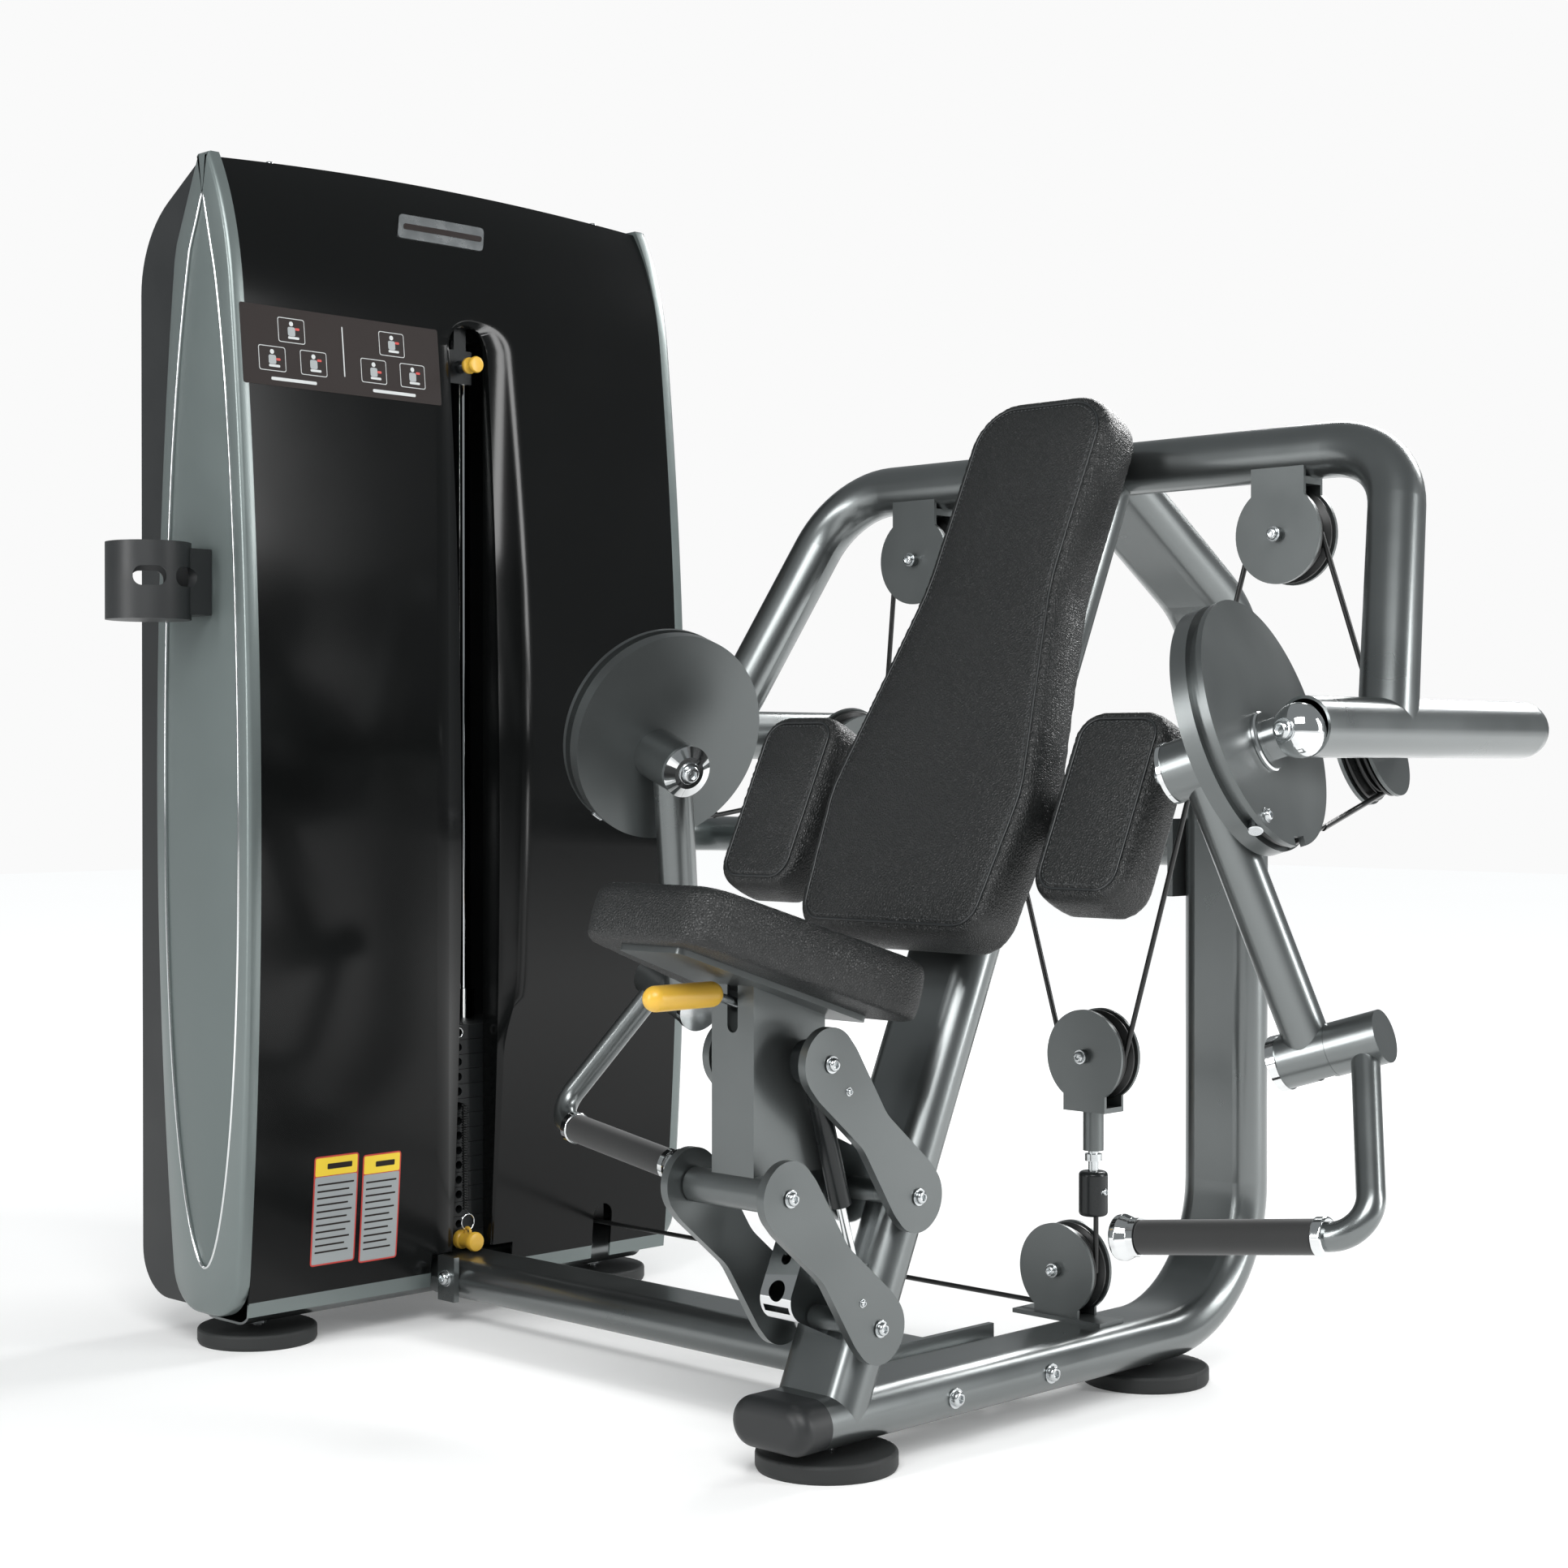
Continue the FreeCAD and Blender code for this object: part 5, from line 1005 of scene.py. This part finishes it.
def side_cover(name, base, outward):
    """Cover whose inner face lies at y = base and whose outer face looks along outward (+1 or -1)."""
    outline = cover_outline()
    steps = [(outline, 0), (outline, 12.5), (inset_outline(outline, 1.6), 16.2),
             (inset_outline(outline, 5), 18), (leaf_outline(2.2), 18), (leaf_outline(0.6), 15.2),
             (leaf_outline(-2), 15.2), (leaf_outline(-7), 16.4)]
    form = bmesh.new()
    rings = [[form.verts.new(Vector((x, base + outward * rise, z)) * mm) for x, z in ring]
             for ring, rise in steps]
    count = len(outline)
    inset_from = len(steps) - 3
    for level, (low, high) in enumerate(zip(rings, rings[1:])):
        for face in strip(form, low, high, closed=True):
            face.material_index = 1 if level >= inset_from else 0
    for ring, index in ((rings[0], 0), (rings[-1], 1)):
        for k in range(count // 2 - 1):
            face = form.faces.new((ring[k], ring[k + 1], ring[count - 2 - k], ring[count - 1 - k]))
            face.material_index = index
    clean(form, 0.01)
    mesh = mesh_of(name, form)
    indices = [face.material_index for face in mesh.polygons]
    cover = show(name, mesh)
    finished(cover, silver_abs, 40)
    mesh.materials.append(inset_abs)
    mesh.polygons.foreach_set("material_index", indices)
    return cover


for side, base, outward in (("near", panel_near, -1), ("far", panel_far, 1)):
    cover = side_cover("tower_%s_leaf" % side, base, outward)
    riding(cover, "frame", "tower_%s_cover" % side)
    line = [Vector((x, base + outward * 17.4, z)) * mm for x, z in leaf_outline(1.4)]
    riding(swept("tower_%s_trim" % side, line, True, 1.8, 10, chrome), "frame")

# %% [markdown]
# The printed pieces are thin films that follow the panel's curve.  They carry plain shapes only:
# a badge without a name, an exercise placard with simple figures, and two notice stickers whose
# lines of print are bars.

# %% Films on the panel
# Printed films: satin vinyl in flat inks.
placard_ink = surface("placard_brown_black", "#1D1614", "#221A18", 0.45, 0.03, 1.5, 0.01,
                      Specular_IOR_Level=0.2)
pale_ink = surface("printed_pale_grey", "#B9BCBC", "#C2C5C5", 0.40, 0.03, 1.5, 0.01)
grey_ink = surface("printed_mid_grey", "#8E9394", "#989D9E", 0.40, 0.03, 1.5, 0.01)
red_ink = surface("printed_red", "#B0332C", "#BA3A32", 0.40, 0.03, 1.5, 0.01)
yellow_ink = surface("printed_yellow", "#E2C22C", "#E8CA38", 0.40, 0.03, 1.5, 0.01)
badge_metal = surface("brushed_aluminium", "#B4B7B8", "#C4C7C8", 0.26, 0.05, 0.8, 0.02,
                      Metallic=1.0, drift=30)


def film(y_low, y_high, z_low, z_high, radius, lift, finish, slant=0.0):
    """Rounded rectangle that lies on the panel, its face lift millimetres proud of it."""
    turns = [radius * (1 - math.cos(math.pi / 2 * k / 4)) for k in range(5)]
    levels = [z_low + t for t in turns] + spread(z_low + radius, z_high - radius, 7)[1:-1]
    levels += [z_high - t for t in reversed(turns)]
    form = bmesh.new()
    face_rows, rim_rows = [], []
    for z in levels:
        over = max(0, radius - (z - z_low), radius - (z_high - z))
        inset = radius - math.sqrt(max(0, radius**2 - over**2))
        lean = slant * (z - z_low)
        places = spread(y_low + inset + lean, y_high - inset + lean, 3)
        face_rows.append([form.verts.new(on_panel(y, z, lift)) for y in places])
        rim_rows.append([form.verts.new(on_panel(y, z, -0.2)) for y in places])
    for rows in (face_rows, rim_rows):
        for low, high in zip(rows, rows[1:]):
            strip(form, low, high)
    for k in range(len(levels) - 1):
        for column in (0, 2):
            form.faces.new((face_rows[k][column], face_rows[k + 1][column], rim_rows[k + 1][column],
                            rim_rows[k][column]))
    for row in (0, -1):
        strip(form, face_rows[row], rim_rows[row])
    bmesh.ops.recalc_face_normals(form, faces=form.faces)
    return show("film", mesh_of("film", form), finish)


def figure_frame(y, z, half, arm_rise):
    """A pale rounded frame with a plain seated figure: head, trunk, seat and one raised arm."""
    tall, line = half * 0.78, 0.9
    return [film(y - half, y + half, z - tall, z + tall, 3, 0.55, pale_ink),
            film(y - half + line, y + half - line, z - tall + line, z + tall - line, 2.4, 0.65,
                 placard_ink),
            film(y - 3, y + 3, z + 5.5, z + 11.5, 2.9, 0.75, pale_ink),
            film(y - 5.5, y + 5.5, z - 7, z + 4.5, 2.4, 0.75, grey_ink),
            film(y + 5.5, y + 12, z - 2 + arm_rise, z + 1 + arm_rise, 1.2, 0.80, red_ink),
            film(y - 5.5, y + 11, z - 10.5, z - 7.5, 1.2, 0.80, pale_ink)]


placard = [film(-138, 168, 1200, 1300, 3, 0.45, placard_ink),
           film(14, 15.6, 1222, 1286, 0.7, 0.7, pale_ink)]
for middle in (-63, 92):
    for aside, height, arm_rise in ((0, 1272, 3), (-31, 1234, 0), (31, 1234, 5)):
        placard += figure_frame(middle + aside, height, 20, arm_rise)
    placard.append(film(middle - 34, middle + 34, 1207, 1211, 1.6, 0.7, pale_ink))
riding(joined("exercise_placard", placard), "frame")

stickers = []
for y_low, y_high, z_low, z_high in ((-42, 26, 100, 239), (33, 93, 95, 234)):
    stickers += [film(y_low, y_high, z_low, z_high, 4, 0.4, red_ink),
                 film(y_low + 2, y_high - 2, z_low + 2, z_high - 26, 2, 0.5, grey_ink),
                 film(y_low + 2, y_high - 2, z_high - 25, z_high - 2, 2, 0.5, yellow_ink),
                 film(y_low + 20, y_high - 10, z_high - 17, z_high - 10, 1.2, 0.6, placard_ink)]
    for k in range(11):
        short = 6 + (k * 7) % 13
        line = z_high - 36 - k * 8.6
        stickers.append(film(y_low + 6, y_high - short, line - 1.1, line + 1.1, 0.8, 0.6, placard_ink))
riding(joined("notice_stickers", stickers), "frame")

badge = [film(120, 262, 1418, 1452, 6, 1.6, badge_metal, slant=0.35),
         film(133, 263, 1431, 1439, 3, 2.1, placard_ink, slant=0.35)]
riding(joined("blank_badge", badge), "frame")

# %% [markdown]
# ## Screws
# Every visible screw is the same kind, a domed socket head on a washer.  It is turned once as a
# profile with a hexagonal recess, and a tree sets one out at each listed place, facing the listed
# way, at the listed size.

# %% One socket screw and the tree that sets screws out
def ring_points(radius, height, sides, hexagonal=False):
    points = []
    for k in range(sides):
        turn = 2 * math.pi * k / sides
        reach = radius
        if hexagonal:
            reach = radius * math.cos(math.pi / 6) / math.cos(turn % (math.pi / 3) - math.pi / 6)
        points.append(Vector((reach * math.cos(turn), reach * math.sin(turn), height)))
    return points


def socket_screw():
    """Screw head of radius 1 that stands on height 0 and looks along +z."""
    sides = 24
    washer_and_dome = [(1.30, 0.0), (1.32, 0.05), (1.32, 0.17), (1.28, 0.21), (1.02, 0.22), (1.0, 0.27),
                       (1.0, 0.52), (0.95, 0.72), (0.85, 0.86), (0.72, 0.93)]
    socket = [(0.58, 0.94), (0.54, 0.91), (0.54, 0.5)]
    rings = [ring_points(radius, height, sides) for radius, height in washer_and_dome]
    rings += [ring_points(radius, height, sides, True) for radius, height in socket]
    rings.append(ring_points(0.1, 0.42, sides))
    return stacked("socket_screw", rings)


def screw_tree():
    tree, given = tree_with("set_out_screws", [("Screw", "Object"), ("Material", "Material")])
    way = add_node(tree, "GeometryNodeInputNamedAttribute", {"data_type": "FLOAT_VECTOR"}, Name="direction")
    size = add_node(tree, "GeometryNodeInputNamedAttribute", {"data_type": "FLOAT"}, Name="size")
    turn = add_node(tree, "FunctionNodeAlignRotationToVector", {"axis": "Z"}, Vector=way.outputs[0])
    head = add_node(tree, "GeometryNodeObjectInfo", Object=given.outputs["Screw"])
    placed = add_node(tree, "GeometryNodeInstanceOnPoints", Points=given.outputs["Geometry"],
                      Instance=head.outputs["Geometry"], Rotation=turn.outputs[0], Scale=size.outputs[0])
    real = add_node(tree, "GeometryNodeRealizeInstances", Geometry=placed.outputs[0])
    return ended(tree, given, real)


screw_master = show("screw_master", socket_screw())
set_out_screws = screw_tree()


def screws(name, rows, finish=zinc):
    """Screw heads at rows of (place, direction, head radius), millimetres."""
    mesh = bpy.data.meshes.new("screw_places")
    mesh.from_pydata([tuple(Vector(place) * mm) for place, _, _ in rows], [], [])
    mesh.attributes.new("direction", "FLOAT_VECTOR", "POINT")
    mesh.attributes.new("size", "FLOAT", "POINT")
    for k, (_, way, radius) in enumerate(rows):
        mesh.attributes["direction"].data[k].vector = Vector(way).normalized()
        mesh.attributes["size"].data[k].value = radius * mm
    heads = grown(name, mesh, set_out_screws, Screw=screw_master, Material=finish)
    return finished(heads, finish, 32)


def mirrored_rows(rows):
    return [((-place[0], *place[1:]), (-way[0], *way[1:]), radius) for place, way, radius in rows]


# %% Screws of every body
link_rear, link_front = (75, 1.5, 155), (75, -129.5, 303)
upper_rear, upper_front = (75, 60, 283), (75, -71, 431)
post_rows = [(link_rear, X, 6.9), (upper_rear, X, 6.9)]
riding(screws("frame_socket_screws", post_rows + mirrored_rows(post_rows) + [
    ((55, 141, 57), X, 8.4), ((55, 303, 57), X, 8.4), ((-63, 702, 584), -X, 7), ((-835, 157, 62), -Y, 8.4),
    ((-936, -45, 1492), Z, 5), ((-936, 155, 1494.5), Z, 5), ((-936, 325, 1494.5), Z, 5),
    ((-936, 500, 1492), Z, 5)]), "frame", "frame_bolts")
carriage_rows = [(link_front, X, 6.9), (upper_front, X, 6.9)]
riding(screws("carriage_socket_screws", carriage_rows + mirrored_rows(carriage_rows)), "seat",
       "carriage_bolts")

lower_wheel, upper_wheel = Vector((375.1, 441.0, 745.3)), Vector((264, 448, 981))
floating_wheel, bottom_wheel = Vector((0, 448, 394)), Vector((-41, 448, 142))


def axle_screws(wheel, way):
    """A screw at each end of a pulley's axle."""
    half, radius = 25, 6.4
    return [(tuple(wheel + way * half), way, radius), (tuple(wheel - way * half), -way, radius)]


pulley_rows = axle_screws(upper_wheel, Y) + axle_screws(lower_wheel, pivot_way)
pulley_rows.append((tuple(ball_centre / mm - Y * 26.2), -Y, 9))
pulley_rows += mirrored_rows(pulley_rows) + axle_screws(bottom_wheel, Y)
riding(screws("pulley_axle_screws", pulley_rows), "frame")
riding(screws("floating_block_screws", axle_screws(floating_wheel, Y) + [((15.4, 448, 237), X, 4.2)]),
       "trolley")


def along_link(start, end, share):
    return tuple(Vector(start).lerp(Vector(end), share) - X)


for body, start, end, share in (("lower_link_pair", link_rear, link_front, 0.2),
                                ("upper_link_pair", upper_rear, upper_front, 0.8)):
    rows = [(along_link(start, end, share), X, 3.4)]
    riding(screws(body + "_set_screws", rows + mirrored_rows(rows)), body)

# %% [markdown]
# Each cam carries the end of its cable under a clamp: a bright barrel with a screw at the cam's
# lower rim.  The cable itself lies in the rim's groove from there to where it leaves for the pulley.

# %% Arm screws, cable clamps and the cable in the cam's groove
cable_radius, pulley_wrap_radius = 3.0, 45.0
cam_offset, cam_wrap_radius, groove_along = Vector((15, 20, 0)), 119.0, 88.5


def arc_points(centre, start_way, end_way, radius, through, count=28):
    """Points of the arc from one direction to another about a centre, on the side of a third."""
    normal = start_way.cross(through).normalized()
    if normal.length < 0.5:
        normal = start_way.cross(end_way).normalized()
    sweep = math.atan2(start_way.cross(end_way).dot(normal), start_way.dot(end_way)) % (2 * math.pi)
    return [centre + Matrix.Rotation(sweep * k / (count - 1), 3, normal) @ start_way * radius
            for k in range(count)]


def cable_piece(name, points, body):
    return riding(swept(name, points, False, cable_radius, 12, sheath), body)


def local_way(angle):
    """Direction in the arm's own cross plane at an angle in degrees from its x."""
    turn = math.radians(angle)
    return arm_frame.to_3x3() @ Vector((math.cos(turn), math.sin(turn), 0))


clamp_angle = 236
cam_middle = arm_frame @ ((cam_offset + Z * groove_along) * mm)
clamp = cam_middle + local_way(clamp_angle) * 112 * mm
right_arm_rows = [(tuple(hub_inner / mm - pivot_way * 9.5), -pivot_way, 10),
                  (tuple(clamp / mm + pivot_way * 11.5), pivot_way, 5.5)]
right_clamp = finished(show("right_cable_clamp", stacked("clamp", [
    ring_points(r, h, 20) for r, h in ((6.2, 0), (7.5, 1.2), (7.5, 13.2), (6.6, 14.2))],
    frame_at(clamp + local_way(clamp_angle) * 1 * mm, Z, local_way(clamp_angle)), mm)), zinc, 35)
riding(right_clamp, "right_arm")
riding(finished(mirrored_copy(right_clamp, "left_cable_clamp"), zinc, 35), "left_arm")
riding(screws("right_arm_screws", right_arm_rows), "right_arm")
riding(screws("left_arm_screws", mirrored_rows(right_arm_rows)), "left_arm")


def nearest_strand_end(name, target):
    """Middle of the end cap of a cable strand that lies nearest to a point."""
    spots = [v.co for v in nodes[name].data.vertices]
    best = min(spots, key=lambda p: (p - target).length)
    cap = [p for p in spots if (p - best).length < 2.05 * cable_radius * mm]
    return sum(cap, Vector()) / len(cap)


cam_strand_end = nearest_strand_end("arm_cables", Vector((400, 265, 670)) * mm)
lower_centre, upper_centre = lower_wheel * mm, upper_wheel * mm
pull = cam_strand_end - cam_middle
pull -= pivot_way * pull.dot(pivot_way)
# The cable leaves the rim where the radius is square to the strand.
reach = math.acos(cam_wrap_radius * mm / pull.length)
leave_way = Matrix.Rotation(reach, 3, pivot_way) @ pull.normalized()
other_way = Matrix.Rotation(-reach, 3, pivot_way) @ pull.normalized()
leave_way = min((leave_way, other_way), key=lambda way: (way - local_way(290)).length)
rim_route = arc_points(cam_middle, local_way(clamp_angle + 4), leave_way, cam_wrap_radius * mm,
                       local_way(262), 20)
print("cable lies on", len(rim_route), "points of the cam rim; the free strand is",
      round((rim_route[-1] - cam_strand_end).length / mm), "mm long")
right_rim = cable_piece("right_cam_cable", rim_route, "right_arm")
right_lead = cable_piece("right_cam_lead", [rim_route[-1], cam_strand_end], "frame")
hub_ring_profile = [(24, 99.5), (29, 99.5), (30, 100.5), (30, 103), (28.5, 104.5), (24, 104.5)]
hub_ring_body = stacked("hub_ring", [ring_points(r, h, 40) for r, h in hub_ring_profile], arm_frame, mm)
hub_ring = finished(show("right_hub_ring", hub_ring_body), chrome, 35)
riding(hub_ring, "right_arm")
riding(finished(mirrored_copy(hub_ring, "left_hub_ring"), chrome, 35), "left_arm")

# %% Cable round the pulleys
def wrap(name, centre, axis, ends, body):
    """Cable round a pulley between two strand ends, on the side away from them."""
    ways = [(end - centre) - axis * (end - centre).dot(axis) for end in ends]
    ways = [way.normalized() for way in ways]
    return cable_piece(name, arc_points(centre, ways[0], ways[1], pulley_wrap_radius * mm,
                                        ways[0].cross(axis) * wrap_side[name]), body)


wrap_side = {"right_upper_wrap": 1, "right_lower_wrap": -1, "floating_wrap": -1, "bottom_wrap": 1}
right_wraps = [
    wrap("right_upper_wrap", upper_centre, Y,
         [nearest_strand_end("v_strands", upper_centre - X * 0.045),
          nearest_strand_end("arm_cables", upper_centre + X * 0.045)], "frame"),
    wrap("right_lower_wrap", lower_centre, pivot_way,
         [nearest_strand_end("arm_cables", lower_centre + Y * 0.045 + Z * 0.01),
          nearest_strand_end("arm_cables", lower_centre - Z * 0.045)], "frame")]
for piece, body in ((right_rim, "left_arm"), (right_lead, "frame"), (right_wraps[0], "frame"),
                    (right_wraps[1], "frame")):
    riding(mirrored_copy(piece, piece.name.replace("right_", "left_")), body)
floating_centre, bottom_centre = floating_wheel * mm, bottom_wheel * mm
# The eccentric rim turns away under the free lead, which draws back towards the pulley; here each lead is
# only given a mesh of its own.
lead_way = cam_strand_end - rim_route[-1]
for side, lead in (("right", right_lead), ("left", bpy.data.objects["left_cam_lead"])):
    flip = mirror_x if side == "left" else Vector
    tuple(flip(lead_way))
    tuple(flip(cam_strand_end + lead_way * 0.08))
    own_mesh(lead)
wrap("floating_wrap", floating_centre, Y, [floating_centre + X, floating_centre - X], "trolley")
wrap("bottom_wrap", bottom_centre, Y, [bottom_centre + X, bottom_centre - Z], "frame")

# %% [markdown]
# Three strands change length as the weights rise.  The two that run up from the floating pulley
# and the rope above the stack shorten towards their upper ends.  The strand below the floating
# block lengthens, so it stretches between the block and the frame.


def strand(name, start, end, finish, replaced=None):
    """Straight run of rope with enough rings to stretch evenly."""
    route = [Vector(start).lerp(Vector(end), k / 12) * mm for k in range(13)]
    piece = swept(name, route, False, cable_radius, 12, finish)
    if replaced:
        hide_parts(replaced)
    return piece


v_pieces = []
for side in (-1, 1):
    ends = [nearest_strand_end("v_strands", Vector((side * reach, 448, height)) * mm)
            for reach, height in ((45, 394), (219, 981))]
    v_pieces.append(strand("v_strand", ends[0] / mm, ends[1] / mm, sheath))
v_pair = joined("v_strand_pair", v_pieces)
riding(v_pair, "frame", "v_strands")
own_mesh(v_pair)
rope = strand("stack_rope", (-940, 218, 423.4), (-940, 218, 1390), steel_wire, "lift_cable")
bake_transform(rope)
drop = strand("drop_strand", (4, 448, 208), (4, 448, 142), sheath, "drop_cable")
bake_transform(drop)

# %% [markdown]
# ## Hand-adjusted parts
# Everything that a hand moves is yellow.  The knobs are turned shapes: a grip that swells towards
# its end behind a shoulder, on a bright shank.

# %% Knobs
def turned(name, place, sections):
    """Turned part along its frame's z.  sections are (finish, [(radius, height), ...])."""
    pieces = []
    for finish, profile in sections:
        rings = [ring_points(radius, height, 32) for radius, height in profile]
        pieces.append(finished(show(name + "_part", stacked(name, rings, place, mm)), finish, 35))
    return joined(name, pieces)


pin_place = frame_at(Vector((-884, 218, 99.5)) * mm, Y, X)
pin_knob = turned("selector_pin_knob", pin_place, [
    (zinc, [(4.2, -64), (5, -63), (5, 0), (4.8, 0.5)]),
    (yellow_abs, [(8, 0), (11.6, 0.8), (12.6, 2.2), (12.6, 8), (11.8, 9.6), (10.4, 11), (9.8, 16),
                  (10.2, 22), (11.8, 27), (12.8, 31), (12.9, 34.5), (11.8, 37), (8, 38), (2, 38)])])
riding(pin_knob, "pin", "selector_pin")
plunger_place = frame_at(Vector((-870, 222, 1259)) * mm, Y, X)
plunger = turned("plunger_grip", plunger_place, [
    (zinc, [(3.6, -28), (4, -27.4), (4, 0), (3.8, 0.4)]),
    (yellow_abs, [(7, 0), (10.2, 0.7), (10.8, 1.8), (10.8, 5.4), (9.4, 7.2), (8.4, 10), (8.8, 13),
                  (10.6, 16), (11, 19), (10, 21.2), (7, 22), (2, 22)])])
riding(plunger, "plunger", "plunger_knob")

# %% [markdown]
# The pin hangs from the stack on a short coiled lanyard, so that it can't be lost.  The coil hooks
# into a steel ring, and the ring passes through the knob's loop.

# %% Lanyard, ring and loop
def hoop(name, middle, level_way, radius, wire, sides, count, finish):
    """Upright ring of wire with count corners.  Its middle and radii are in millimetres."""
    turns = [2 * math.pi * k / count for k in range(count)]
    line = [(middle + (level_way * math.cos(turn) + Z * math.sin(turn)) * radius) * mm for turn in turns]
    return swept(name, line, True, wire, sides, finish)


ring_middle, ring_radius = Vector((-866, 218, 124)), 10.5
riding(hoop("pin_key_ring", ring_middle, Y, ring_radius, 1.0, 8, 40, chrome), "pin")
riding(hoop("pin_loop", Vector((-866, 218, 111)), X, 5.5, 1.9, 10, 32, yellow_abs), "pin")
coil_top, coil_foot, coil_turns, coil_radius, turn_corners = 278, 140, 40, 3.6, 14
coil_line = [Vector((-886, 221, coil_top + 2)) * mm]
for k in range(coil_turns * turn_corners):
    turn = 2 * math.pi * k / turn_corners
    drop = k / (coil_turns * turn_corners)
    coil_line.append(Vector((-876 + coil_radius * math.cos(turn) + 6 * drop,
                             221 + coil_radius * math.sin(turn) - 3 * drop,
                             coil_top - (coil_top - coil_foot) * drop)) * mm)
coil_line.append((ring_middle + Z * ring_radius) * mm)
coil = swept("pin_lanyard", coil_line, False, 0.9, 6, sheath)
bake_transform(coil)
eyelet = hoop("lift_plate_eyelet", Vector((-884.4, 218, 374)), Y, 6.2, 1.2, 8, 32, chrome)
riding(eyelet, "weight_stack")
bpy.data.objects.remove(screw_master)
